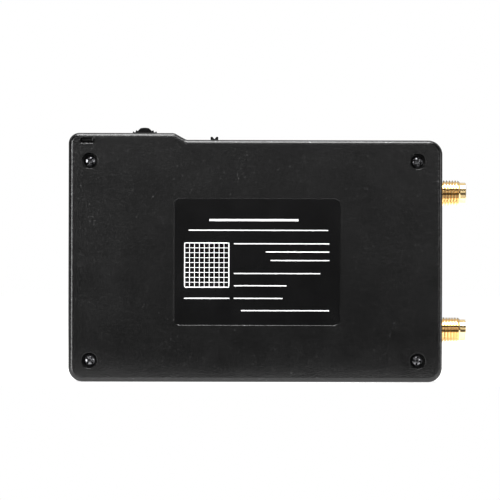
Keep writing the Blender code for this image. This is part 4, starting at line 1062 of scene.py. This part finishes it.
    def _lanyard_tunnel(self) -> list[Piece]:
        """The slot in the back that meets the slot in the top, with a bar left in the corner.

        Returns:
            The cutters for the back slot, its slanted floor and the top slot.
        """
        inset_x, inset_z = self.lanyard_floor_insets
        low, high = widened(self.lanyard_z, -inset_z)
        shallow = self.lanyard_end - self.lanyard_slant
        floor_line = [(shallow - inset_z, low), (self.lanyard_end, low), (shallow - inset_z, high)]
        top_x = widened(self.lanyard_x, -self.top_slot_inset)
        top_z = (sum(self.lanyard_z) / 2, CASE.shoulder_top)
        return [
            opening(
                "back_slot", Axis.Y, (shallow, CASE.back), (self.lanyard_x, self.lanyard_z),
                self.lanyard_corner, self.lanyard_edge,
            ),
            plate("slot_floor", Axis.X, widened(self.lanyard_x, -inset_x), floor_line),
            opening(
                "top_slot", Axis.Z, top_z, (top_x, self.top_slot_y),
                self.top_slot_corner, self.lanyard_edge,
            ),
        ]

    def _shell(self) -> Piece:
        """The front shell with its lip, its screw bosses, the display ribs and the window.

        Returns:
            The closed shell.
        """
        shell = self._half("front_shell_skin", (CASE.back - CASE.over, self.seam))
        lip = CASE.outline(CASE.side_wall - self.lip)
        join(shell, plate("lip", Axis.Y, (-self.lip_rise, self.seam + CASE.over), lip))
        cut(shell, self._hollow())
        root = CASE.inner_front + self.shell_rooted
        for place in SCREWS:
            join(shell, rod("boss", Axis.Y, place, (self.boss_face, root), self.boss / 2))
        fence_y = (self.tray_fence_start, root + self.deeper)
        join(shell, self._fence("display_tray", fence_y, self.wall_gap))
        pilot_y = (self.boss_face - CASE.over, CASE.inner_front - self.shell_rooted)
        for place in SCREWS:
            cut(shell, rod("pilot", Axis.Y, place, pilot_y, self.pilot / 2))
        flex_x, _, flex_z = spans("display_flex")
        gate_x = (flex_x[0] - CASE.over, self.gate_end)
        gate = box("flex_gate", gate_x, self.gate_y, widened(flex_z, self.wall_gap))
        window = plate(
            "window", Axis.Y, (CASE.inner_front - CASE.over, CASE.front + CASE.over),
            rectangle(self.window_x, self.window_z, self.window_corner),
            self.window_slope + CASE.over,
        )
        cut(shell, gate, window)
        return cut(shell, *self._wall_openings(self.jog_slot_y, self.slide_slot_y))


@dataclass
class Label:
    """The dark film on the back with a plain ruled form.

    Each rule is given by its start, its end and its distance below the film's top edge.
    """

    soft: float = 0.09 * MM
    ink: tuple[float, float, float] = (0.86, 0.86, 0.86)
    ink_roughness: float = 0.5
    ink_height: float = 0.02 * MM
    line: float = 0.24 * MM
    head_line: float = 0.5 * MM
    grid_line: float = 0.12 * MM
    grid_cells: int = 9
    grid_side: float = 11.1 * MM
    grid_place: Point2 = mm(2.5, 10.7)
    head: Place = mm(8.7, 30.5, 5.2)
    rules: tuple[Place, ...] = (
        mm(3.6, 37.8, 7.7),
        mm(14.7, 38.1, 11.0),
        mm(22.5, 38.1, 13.0),
        mm(23.7, 38.1, 15.1),
        mm(14.7, 35.9, 18.3),
        mm(14.7, 27.6, 21.3),
        mm(14.7, 26.6, 24.4),
        mm(2.5, 13.6, 24.4),
        mm(16.5, 38.1, 27.4),
    )

    def build(self) -> None:
        """Model the film and its print."""
        x_span, y_span, z_span = spans("label")
        outline = rectangle(x_span, z_span, CASE.label_corner)
        film = ease(plate("label_film_skin", Axis.Y, y_span, outline), self.soft)
        keep(smooth(film), Look.LABEL, "root", "label")
        self._print(x_span[0], y_span[0], z_span[1])

    def _print(self, left: float, face: float, top: float) -> None:
        """The thin light lines of the form and of the square with a plain grid.

        Args:
            left: Where the film starts.
            face: The height of the film's outer face.
            top: Where the film ends.
        """
        marks = [self._rule(left, top, self.head, self.head_line)]
        marks += [self._rule(left, top, rule, self.line) for rule in self.rules]
        across = (left + self.grid_place[0], left + self.grid_place[0] + self.grid_side)
        up = (top - self.grid_place[1] - self.grid_side, top - self.grid_place[1])
        for step in range(self.grid_cells + 1):
            line = self.line if step in (0, self.grid_cells) else self.grid_line
            offset = (self.grid_side - self.line) * step / self.grid_cells + self.line / 2
            marks.append((around(across[0] + offset, line), up))
            marks.append((across, around(up[0] + offset, line)))
        depth = around(face, 2 * self.ink_height)
        sheet = together([box("mark", wide, depth, high) for wide, high in marks], "label_print")
        Finish("label_film_ink", self.ink, self.ink_roughness).cover(sheet)
        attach(sheet, "root")
        report(sheet)

    @staticmethod
    def _rule(left: float, top: float, rule: Place, line: float) -> tuple[Span, Span]:
        """Where one rule of the form lies."""
        return (left + rule[0], left + rule[1]), around(top - rule[2], line)


@dataclass
class CaseScrews:
    """The four cross-recess pan head screws in the back."""

    head: float = 3.0 * MM
    head_height: float = 1.2 * MM
    dome: float = 4.3 * MM
    dome_steps: int = 8
    flat: float = 0.45 * MM
    edge: float = 0.12 * MM
    soft: float = 0.05 * MM
    soft_angle: float = 35.0
    core: float = 1.7 * MM
    tip: float = 0.6 * MM
    arm: float = 2.5 * MM
    slot: float = 0.46 * MM
    recess: float = 0.8 * MM
    proud: float = 0.3 * MM
    turns: tuple[float, ...] = (45.0, 20.0, 38.0, 10.0)

    def build(self) -> None:
        """Model one screw and copy it to each place with its own turn."""
        _, (top, end), _ = spans("case_screw_1")
        screw = smooth(self._screw(top, end), angle=30)
        for number, (place, turn) in enumerate(zip(SCREWS, self.turns), 1):
            node = f"case_screw_{number}"
            move = Matrix.Translation((place[0], 0, place[1]))
            move @= Matrix.Rotation(math.radians(turn), 4, "Y")
            keep(copied(screw, node + "_skin", move), Look.SCREW, "root", node)
        bpy.data.objects.remove(screw)

    def _screw(self, top: float, end: float) -> Piece:
        """One screw on the Y axis: a domed head with a tapered cross in it, and its shank.

        Args:
            top: The place of the head's top.
            end: The place of the shank's tip.

        Returns:
            The closed screw.
        """
        seat = top + self.head_height
        start = math.asin(self.flat / self.dome)
        stop = math.asin((self.head / 2 - self.edge) / self.dome)
        crown = top + self.dome * math.cos(start)
        profile = [(0, top)]
        for step in range(self.dome_steps + 1):
            angle = start + (stop - start) * step / self.dome_steps
            profile.append((self.dome * math.sin(angle), crown - self.dome * math.cos(angle)))
        profile += [
            (self.head / 2, profile[-1][1] + self.edge),
            (self.head / 2, seat - self.edge),
            (self.head / 2 - self.edge, seat),
            (self.core / 2, seat),
            (self.core / 2, end - self.tip),
            (self.core / 4, end),
            (0, end),
        ]
        screw = turned("screw", Axis.Y, (0, 0), profile)
        cut(screw, self._arm(top, 0), self._arm(top, 90))
        return ease(screw, self.soft, angle=self.soft_angle)

    def _arm(self, top: float, turn: float) -> Piece:
        """The cutter for one bar of the cross, which narrows towards its floor.

        Args:
            top: The place of the head's top.
            turn: The bar's turn about the screw in degrees.

        Returns:
            The cutter.
        """
        half, waist = self.arm / 2, self.arm / 5
        mouth = half + self.proud / 3
        side = [(waist, -self.recess), (half, 0), (mouth, self.proud)]
        outline = [(-across, up) for across, up in reversed(side)] + side
        tool = plate("arm", Axis.Y, around(0, self.slot), outline)
        tool.rotation_euler = (math.radians(90), 0, 0)
        settle(tool, "arm")
        tool.rotation_euler = (0, math.radians(turn), 0)
        tool.location = (0, top, 0)
        return settle(tool, "arm")


@dataclass
class AntennaPorts:
    """The two edge-mounted coaxial connectors, with cut threads on their barrels."""

    rear: float = 39.35 * MM
    tip: float = 49.0 * MM
    thread: float = 6.35 * MM
    pitch: float = 0.7056 * MM
    thread_depth: float = 0.5 * MM
    thread_start: float = 42.0 * MM
    thread_end: float = 47.55 * MM
    crest_share: float = 0.12
    root_share: float = 0.18
    run_in: float = 1.51
    spare_turns: int = 3
    core: float = 5.3 * MM
    lead: float = 5.25 * MM
    bore: float = 4.6 * MM
    flange: float = 6.35 * MM
    flange_thickness: float = 1.4 * MM
    flange_soft: float = 0.15 * MM
    prong: float = 1.0 * MM
    prong_length: float = 4.0 * MM
    prong_back: Span = mm(-0.6, 0.4)
    prong_front: float = 2.3 * MM
    soft: float = 0.1 * MM
    steps: int = 72
    insulator_bore: float = 1.57 * MM
    insulator_soft: float = 0.06 * MM
    contact: float = 1.27 * MM
    contact_bore: float = 0.92 * MM
    contact_tail: float = 0.8 * MM
    contact_depth: float = 2.6 * MM
    contact_soft: float = 0.05 * MM
    contact_steps: int = 48
    slot: float = 0.16 * MM
    slot_length: float = 1.8 * MM
    slot_cutter: float = 2.0 * MM

    def build(self) -> None:
        """Model one connector on the X axis and copy its three pieces to both places."""
        _, y_span, _ = spans("port_1_body")
        pieces = {
            "body": (smooth(self._body(y_span[1]), angle=24), Look.GOLD),
            "insulator": (smooth(self._insulator()), Look.INSULATOR),
            "contact": (smooth(self._contact()), Look.GOLD),
        }
        for number, height in enumerate(PORTS, 1):
            for part, (piece, look) in pieces.items():
                node = f"port_{number}_{part}"
                move = Matrix.Translation((0, 0, height))
                keep(copied(piece, node + "_skin", move), look, "root", node)
        for piece, _ in pieces.values():
            bpy.data.objects.remove(piece)

    def _body(self, prong_end: float) -> Piece:
        """The threaded barrel with its flange and its four prongs on the board.

        Args:
            prong_end: Where the front prongs end along Y.

        Returns:
            The closed body.
        """
        barrel = self._barrel()
        flange_x = (self.rear, self.rear + self.flange_thickness)
        flange = box("flange", flange_x, around(0, self.flange), around(0, self.flange))
        ease(flange, self.flange_soft, segments=3)
        prongs = []
        length = (self.rear - self.prong_length, self.rear + self.flange_thickness / 2)
        for y_span in (self.prong_back, (self.prong_front, prong_end)):
            for side in (-1, 1):
                middle = side * (self.flange - self.prong) / 2
                prongs.append(box("prong", length, y_span, around(middle, self.prong)))
        bore = drill((0, 0), (self.rear - CASE.over, self.tip), self.bore / 2, self.soft)
        return cut(join(barrel, flange, *prongs), bore)

    def _barrel(self) -> Piece:
        """The barrel: a plain core with a neck behind and a lead in front, and the thread on it.

        Returns:
            The solid barrel.
        """
        crest, core, lead, soft = self.thread / 2, self.core / 2, self.lead / 2, self.soft
        start = self.rear + self.flange_thickness / 2
        profile = [
            (0, start),
            (crest - soft, start),
            (crest - soft, self.thread_start + soft),
            (crest - 2 * soft, self.thread_start + 2 * soft),
            (core, self.thread_start + 2 * soft),
            (core, self.thread_end - soft),
            (lead, self.thread_end),
            (lead, self.tip - 1.5 * soft),
            (lead - soft / 2, self.tip - soft / 2),
            (lead - 1.5 * soft, self.tip),
            (0, self.tip),
        ]
        barrel = turned("barrel", Axis.X, (0, 0), profile, self.steps)
        profile = [
            (0, self.thread_start),
            (crest + soft, self.thread_start),
            (crest + soft, self.thread_end - (crest + soft - core)),
            (core - 2 * soft, self.thread_end + 2 * soft),
            (0, self.thread_end + 2 * soft),
        ]
        room = turned("room", Axis.X, (0, 0), profile, self.steps)
        return join(barrel, change(self._thread(), Operation.KEEP, room))

    def _thread(self) -> Piece:
        """An endless thread along X: one pitch of its profile, screwed and closed at both ends.

        Returns:
            The closed thread, turned by half a step against the barrel's faces.
        """
        crest, root = self.thread / 2, self.thread / 2 - self.thread_depth
        flank = (1 - self.crest_share - self.root_share) / 2
        shares = (0.0, self.root_share, self.root_share + flank, 1 - flank, 1.0)
        heights = (root, root, crest, crest, root)
        line = polyline([(radius, 0, share * self.pitch) for radius, share in zip(heights, shares)])
        bpy.ops.object.mode_set(mode="OBJECT")
        turns = math.ceil((self.thread_end - self.thread_start) / self.pitch) + self.spare_turns
        modified(
            line, "SCREW", axis="Z", screw_offset=self.pitch, iterations=turns, steps=self.steps,
            render_steps=self.steps, use_merge_vertices=False,
        )
        bpy.ops.object.mode_set(mode="EDIT")
        weld()
        for start in (0.0, turns * self.pitch):
            self._close_end(line, start)
        leave_edit()
        half_step = Matrix.Rotation(math.pi / self.steps, 3, "Z")
        line.rotation_euler = (Axis.X.value @ half_step).to_euler()
        line.location = (self.thread_start - self.run_in * self.pitch, 0, 0)
        return settle(line, "thread")

    def _close_end(self, thread: Piece, start: float) -> None:
        """Close an open end of the thread with a fan of faces to the axis.

        Args:
            thread: The thread, in edit mode.
            start: The height at which the end starts.
        """
        bpy.ops.mesh.select_mode(type="EDGE")
        bpy.ops.mesh.select_all(action="DESELECT")
        middle = start + self.pitch / 2
        grid = bmesh.from_edit_mesh(thread.data)
        for edge in grid.edges:
            far = max(abs(point.co.z - middle) for point in edge.verts)
            if edge.is_boundary and far < self.pitch:
                edge.select_set(True)
        bmesh.update_edit_mesh(thread.data)
        bpy.ops.mesh.extrude_region_move()
        bpy.ops.transform.resize(value=(0, 0, 0), center_override=(0, 0, middle))
        weld()

    def _insulator(self) -> Piece:
        """The white insulator, bored for the contact.

        Returns:
            The closed ring.
        """
        (low, high), y_span, _ = spans("port_1_insulator")
        outer, inner = (y_span[1] - y_span[0]) / 2, self.insulator_bore / 2
        soft = self.insulator_soft
        profile = [(inner, low), (outer, low), (outer, high - soft), (outer - soft, high)]
        profile += [(inner + soft, high), (inner, high - soft), (inner, low)]
        return turned("insulator", Axis.X, (0, 0), profile)

    def _contact(self) -> Piece:
        """The socket contact with its bore and its two slots.

        Returns:
            The closed contact.
        """
        (low, high), _, _ = spans("port_1_contact")
        outer, inner, tail = self.contact / 2, self.contact_bore / 2, self.contact_tail / 2
        floor, soft = high - self.contact_depth, self.contact_soft
        profile = [
            (0, low),
            (tail, low),
            (tail, self.rear),
            (outer, self.rear),
            (outer, high - soft),
            (outer - soft, high),
            (inner + soft / 2, high),
            (inner, high - soft),
            (inner, floor),
            (0, floor),
        ]
        contact = turned("contact", Axis.X, (0, 0), profile, self.contact_steps)
        slot, wide = around(0, self.slot), around(0, self.slot_cutter)
        length = (high - self.slot_length, high + CASE.over)
        return cut(contact, box("slot", length, slot, wide), box("slot", length, wide, slot))


@dataclass
class JogLever:
    """The lever that tips to either side and presses in, with the ribs that a finger turns.

    Angles are in degrees from the lever's middle, and each of the ribs has its distance from the
    pivot beside its angle.
    """

    pivot: Point2 = mm(-30.45, 57.85)
    depth: Span = mm(-2.9, -0.9)
    rim: float = 4.65 * MM
    crown: float = 0.05 * MM
    rib: float = 0.36 * MM
    half_fan: float = 43.0
    fan_soft: float = 0.15 * MM
    crest_half: float = 12.9
    crest_steps: int = 4
    crest_soft: float = 0.25 * MM
    crest_foot: float = 23.6
    foot_soft: float = 0.1 * MM
    ribs: tuple[Point2, ...] = ((27.8, 4.55 * MM), (37.8, 4.70 * MM))
    rib_half: float = 1.7
    rib_soft: float = 0.08 * MM
    rib_root: float = 3.0
    root_soft: float = 0.05 * MM
    hub: float = 1.5 * MM
    hub_steps: int = 12
    lug: float = 0.7 * MM
    lug_reach: float = 2.0 * MM
    lug_soft: float = 0.1 * MM
    pin_hole: float = 1.1 * MM
    soft: float = 0.12 * MM
    arc_step: float = math.radians(20)

    def build(self) -> None:
        """Model the lever and its hole for the pin."""
        knob = plate("jog_knob_skin", Axis.Y, self.depth, self._outline())
        ease(knob, self.soft, segments=3, angle=RIM_ANGLE)
        pin_y = widened(self.depth, CASE.over)
        cut(knob, rod("pin_hole", Axis.Y, self.pivot, pin_y, self.pin_hole / 2))
        keep(smooth(knob, angle=40), Look.KNOB, "jog_knob", "jog_knob")

    def _outline(self) -> list[Point2]:
        """Hub, lug and a fan whose rim has a crest with softened ribs on both sides of it.

        Returns:
            The outline's points in order.
        """
        root = self.rim - self.rib
        side: list[Place] = []
        for step in range(self.crest_steps + 1):
            soft = self.crest_soft if step == self.crest_steps else 0
            angle = self.crest_half * step / self.crest_steps
            side.append((angle, self.rim + self.crown, soft))
        side.append((self.crest_foot, root, self.foot_soft))
        for angle, top in self.ribs:
            side += [
                (angle - self.rib_root, root, self.root_soft),
                (angle - self.rib_half, top, self.rib_soft),
                (angle + self.rib_half, top, self.rib_soft),
                (angle + self.rib_root, root, self.root_soft),
            ]
        side.append((self.half_fan, root, self.fan_soft))
        points = [
            (radius * math.sin(math.radians(angle)), radius * math.cos(math.radians(angle)), soft)
            for angle, radius, soft in side
        ]
        waist = math.asin(self.lug / 2 / self.hub)
        for step in range(self.hub_steps + 1):
            angle = math.pi / 2 + (math.pi / 2 - waist) * step / self.hub_steps
            points.append((self.hub * math.sin(angle), self.hub * math.cos(angle), 0))
        points.append((self.lug / 2, -self.lug_reach, self.lug_soft))
        points += [(-across, up, soft) for across, up, soft in reversed(points[1:])]
        corners = [
            (self.pivot[0] + across, self.pivot[1] + up, soft) for across, up, soft in points
        ]
        return rounded(corners, self.arc_step)


@dataclass
class SlideSwitch:
    """The power slider, whose stub has a notch for a fingernail."""

    middle: float = -13.25 * MM
    width: float = 1.9 * MM
    depth: Span = mm(-1.85, -0.35)
    block: float = 1.4 * MM
    rooted: float = 0.7 * MM
    notch: float = 0.6 * MM
    soft: float = 0.1 * MM
    stub_soft: float = 0.07 * MM
    corner: float = 0.12 * MM
    notch_corner: float = 0.08 * MM
    arc_step: float = math.radians(15)

    def build(self) -> None:
        """Model the slider's block and its notched stub as one piece."""
        x_span, y_span, (low, high) = spans("power_slider")
        block_top = low + self.block
        block = ease(box("power_slider_skin", x_span, y_span, (low, block_top)), self.soft)
        half = self.width / 2
        corners = [
            (self.middle - half, block_top - self.rooted, 0),
            (self.middle + half, block_top - self.rooted, 0),
            (self.middle + half, high, self.corner),
            (self.middle + half / 2, high, self.notch_corner),
            (self.middle, high - self.notch, self.soft),
            (self.middle - half / 2, high, self.notch_corner),
            (self.middle - half, high, self.corner),
        ]
        stub = plate("stub", Axis.Y, self.depth, rounded(corners, self.arc_step))
        ease(stub, self.stub_soft, angle=RIM_ANGLE)
        slider = smooth(join(block, stub), angle=40)
        keep(slider, Look.KNOB, "power_slider", "power_slider")


@dataclass
class ChargingSocket:
    """The socket in the top wall: a drawn steel shell round a tongue with contact pads."""

    wall: float = 0.3 * MM
    corner: float = 1.2 * MM
    mouth_edge: float = 0.06 * MM
    soft: float = 0.05 * MM
    tongue_soft: float = 0.15 * MM
    pads: int = 10
    pad_pitch: float = 0.5 * MM
    pad_share: float = 0.56
    pad_height: float = 0.02 * MM
    pad_span: Span = mm(3.4, 0.5)

    def build(self) -> None:
        """Model the shell, the tongue and the pads on both of its faces."""
        x_span, y_span, z_span = spans("usb_shell")
        shell = plate("usb_shell_skin", Axis.Z, z_span, rectangle(x_span, y_span, self.corner))
        inner = (widened(x_span, -self.wall), widened(y_span, -self.wall))
        room_z = (z_span[0] + self.wall, z_span[1])
        corner = self.corner - self.wall
        cut(shell, opening("room", Axis.Z, room_z, inner, corner, self.mouth_edge))
        ease(shell, self.soft, angle=RIM_ANGLE)
        keep(smooth(shell), Look.STEEL, "root", "usb_shell")
        self._tongue(sum(x_span) / 2)

    def _tongue(self, middle: float) -> None:
        """The tongue and its thin gold pads.

        Args:
            middle: The socket's middle along X.
        """
        x_span, y_span, z_span = spans("usb_tongue")
        tongue = box("usb_tongue_skin", x_span, y_span, z_span)
        ease(tongue, self.tongue_soft, segments=3)
        keep(smooth(tongue), Look.SWITCH, "root", "usb_tongue")
        first = middle - self.pad_pitch * (self.pads - 1) / 2
        pad_y = widened(y_span, self.pad_height)
        pad_z = (z_span[1] - self.pad_span[0], z_span[1] - self.pad_span[1])
        pads = []
        for number in range(self.pads):
            pad_x = around(first + number * self.pad_pitch, self.pad_pitch * self.pad_share)
            pads.append(box("pad", pad_x, pad_y, pad_z))
        keep(together(pads, "usb_pads"), Look.GOLD, "root")


@dataclass
class Screen:
    """The touch panel behind the window: clear glass over a dark active area."""

    corner: float = 0.8 * MM
    soft: float = 0.08 * MM
    film: float = 0.05 * MM
    border_x: Span = mm(-35.6, 24.0)
    border_z: Span = mm(7.1, 52.3)
    active_x: Span = mm(-33.8, 22.2)
    active_z: Span = mm(8.6, 50.8)
    active_corner: float = 0.2 * MM
    ink: Finish = Finish("touch_glass_border", (0.012, 0.012, 0.013), 0.14, coat=1.0)

    def build(self) -> None:
        """Model the panel and the printed border on its face."""
        x_span, y_span, z_span = spans("touch_panel")
        panel = plate("touch_panel_skin", Axis.Y, y_span, rectangle(x_span, z_span, self.corner))
        ease(panel, self.soft)
        keep(smooth(panel), Look.GLASS, "root", "touch_panel")
        film_y = (y_span[1] - self.film, y_span[1] + self.film)
        outer = rectangle(self.border_x, self.border_z, self.corner)
        inner = rectangle(self.active_x, self.active_z, self.active_corner)
        border = plate("touch_border", Axis.Y, film_y, outer)
        cut(border, plate("active", Axis.Y, widened(y_span, CASE.over), inner))
        self.ink.cover(border)
        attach(smooth(border), "root")
        report(border)


class Inside:
    """The pieces inside the case, which keep the shape that they have in the frame."""

    looks: dict[Look, tuple[str, ...]] = {
        Look.LAMINATE: ("circuit_board",),
        Look.DISPLAY: ("display_panel",),
        Look.STEEL: (
            "display_tray", "slide_switch_cover", "jog_switch_cover", "jog_pivot_pin",
            "jog_return_spring", "jog_push_dome", "clock_crystal", "shield_lid_1", "shield_lid_2",
        ),
        Look.SWITCH: ("slide_switch_base", "jog_switch_base", "jog_carrier"),
        Look.BRONZE: ("slide_switch_contact",),
        Look.FLEX: ("display_flex",),
        Look.RESIN: (
            "processor_chip", "codec_chip", "clock_chip", "charger_chip", "power_inductor",
            "mixer_chip_1", "mixer_chip_2", "mixer_chip_3",
        ),
        Look.FOAM: ("screen_gasket", "battery_pad"),
        Look.FOIL: ("battery_cell",),
        Look.TAPE: ("battery_guard_strip",),
        Look.RED: ("battery_lead_red",),
        Look.BLACK: ("battery_lead_black",),
        Look.NYLON: ("battery_plug", "battery_header"),
    }

    def build(self) -> None:
        """Give each solid its finish."""
        for look, nodes in self.looks.items():
            for node in nodes:
                look.on(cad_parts[node])
                report(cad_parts[node])


@dataclass(frozen=True)
class Lamp:
    """A softbox aimed at the middle of the case; its glow is what a mirror would show."""

    name: str
    place: Place
    size: Point2
    glow: float

    def build(self, target: Place) -> None:
        """Add the softbox with the power that gives its glow.

        Args:
            target: The place that it is aimed at.
        """
        deselect()
        bpy.ops.object.light_add(type="AREA", location=self.place)
        light = bpy.context.object
        light.name = "studio_" + self.name
        light.data.shape = "RECTANGLE"
        light.data.size, light.data.size_y = self.size
        light.data.energy = self.glow * math.pi * self.size[0] * self.size[1]
        aim = Vector(target) - Vector(self.place)
        light.rotation_euler = aim.to_track_quat("-Z", "Y").to_euler()


@dataclass
class Studio:
    """A pale floor and backdrop, soft lights and a camera with the photograph's view."""

    camera_place: Place = mm(-12.11, -800.0, 23.795)
    yaw: float = 0.554
    pitch: float = 0.62
    roll: float = 0.135
    focal_pixels: float = 3229.7
    frame_pixels: float = 500.0
    sensor: float = 36.0
    clip_start: float = 0.01
    floor_drop: float = 0.2 * MM
    floor_half_width: float = 3.0
    floor_front: float = -0.03
    floor_back: float = 6.0
    floor_tone: float = 0.8
    floor_roughness: float = 0.7
    floor_specular: float = 0.2
    floor_lift: float = 0.78
    room: float = 0.25
    room_gloss: float = 0.13
    sky_gloss: float = 1.0
    sky_behind: Span = (-0.3, 0.2)
    sky_above: Span = (0.1, 0.5)
    backdrop: float = 1.0
    target: Place = mm(0, 0, 30)
    lamps: tuple[Lamp, ...] = (
        Lamp("left", (-0.40, -0.62, 0.06), (0.32, 0.32), 12.0),
        Lamp("right", (0.27, -0.68, 0.06), (0.08, 0.12), 9.0),
        Lamp("brow", (0.0, -0.66, 0.33), (0.10, 0.07), 12.0),
        Lamp("side", (0.76, -0.26, 0.06), (0.24, 0.36), 6.0),
        Lamp("top", (0.0, -0.20, 0.58), (0.40, 0.40), 18.0),
        Lamp("card", (0.0, -0.70, 0.22), (0.60, 0.28), 0.8),
        Lamp("low_card", (0.0, -0.54, -0.38), (0.60, 0.44), 0.8),
    )

    def build(self) -> None:
        """Set the surroundings, the lights and the camera."""
        self._world()
        self._floor()
        for lamp in self.lamps:
            lamp.build(self.target)
        self._camera()

    def _world(self) -> None:
        """White for camera rays, and for gloss a dim room that is bright above and behind."""
        world = bpy.data.worlds.new("studio_world")
        bpy.context.scene.world = world
        world.use_nodes = True
        tree = Tree(world.node_tree)
        way = tree.add("SeparateXYZ", {0: tree.add("TexCoord").outputs["Generated"]}).outputs
        behind = tree.spread(way["Y"], 0.0, 1.0, *self.sky_behind)
        above = tree.spread(way["Z"], 0.0, 1.0, *self.sky_above)
        gloss = tree.blend(tree.math("MULTIPLY", behind, above), self.room_gloss, self.sky_gloss)
        glossy = tree.add("LightPath").outputs["Is Glossy Ray"]
        level = tree.blend(glossy, self.room, gloss)
        level = tree.blend(tree.seen(), level, self.backdrop)
        tree.feed(world.node_tree.nodes["Background"], {"Strength": level, "Color": (1, 1, 1, 1)})

    def _floor(self) -> None:
        """A wide pale floor, lifted to white where it is seen, that keeps the case's shadow."""
        deselect()
        bpy.ops.mesh.primitive_plane_add(
            size=1,
            location=(0, (self.floor_front + self.floor_back) / 2, -self.floor_drop),
        )
        floor = bpy.context.object
        floor.scale = (2 * self.floor_half_width, self.floor_back - self.floor_front, 1)
        settle(floor, "studio_floor")
        material, tree, shader = shaded("studio_floor")
        tone = (self.floor_tone, self.floor_tone, self.floor_tone, 1)
        tree.feed(shader, {"Base Color": tone, "Roughness": self.floor_roughness})
        tree.feed(shader, {"Specular IOR Level": self.floor_specular})
        glossy = tree.add("LightPath").outputs["Is Glossy Ray"]
        shown = tree.math("MAXIMUM", tree.seen(), glossy)
        lift = tree.math("MULTIPLY", shown, self.floor_lift)
        white = tree.add("Emission", {"Color": (1, 1, 1, 1), "Strength": lift})
        both = tree.add("AddShader", {0: shader.outputs[0], 1: white.outputs[0]})
        tree.feed(material.node_tree.nodes["Material Output"], {"Surface": both.outputs[0]})
        floor.data.materials.append(material)

    def _camera(self) -> None:
        """The camera, turned by yaw, pitch and roll from a level look along +Y."""
        deselect()
        bpy.ops.object.camera_add(location=self.camera_place)
        camera = bpy.context.object
        camera.name = "studio_camera"
        camera.data.sensor_width = self.sensor
        camera.data.lens = self.focal_pixels / self.frame_pixels * self.sensor
        camera.data.clip_start = self.clip_start
        turn = (
            Matrix.Rotation(math.radians(-self.yaw), 3, "Z")
            @ Matrix.Rotation(math.radians(90 + self.pitch), 3, "X")
            @ Matrix.Rotation(math.radians(self.roll), 3, "Z")
        )
        camera.rotation_euler = turn.to_euler()
        bpy.context.scene.camera = camera


def main() -> None:
    """Build the whole look in order."""
    logging.basicConfig(level=logging.INFO)
    sub_assemblies = (
        Housing, Label, CaseScrews, AntennaPorts, JogLever, SlideSwitch, ChargingSocket, Screen,
        Inside, Studio,
    )
    for sub_assembly in sub_assemblies:
        sub_assembly().build()
    bpy.context.scene.view_settings.view_transform = "Standard"


if __name__ == "__main__":
    main()
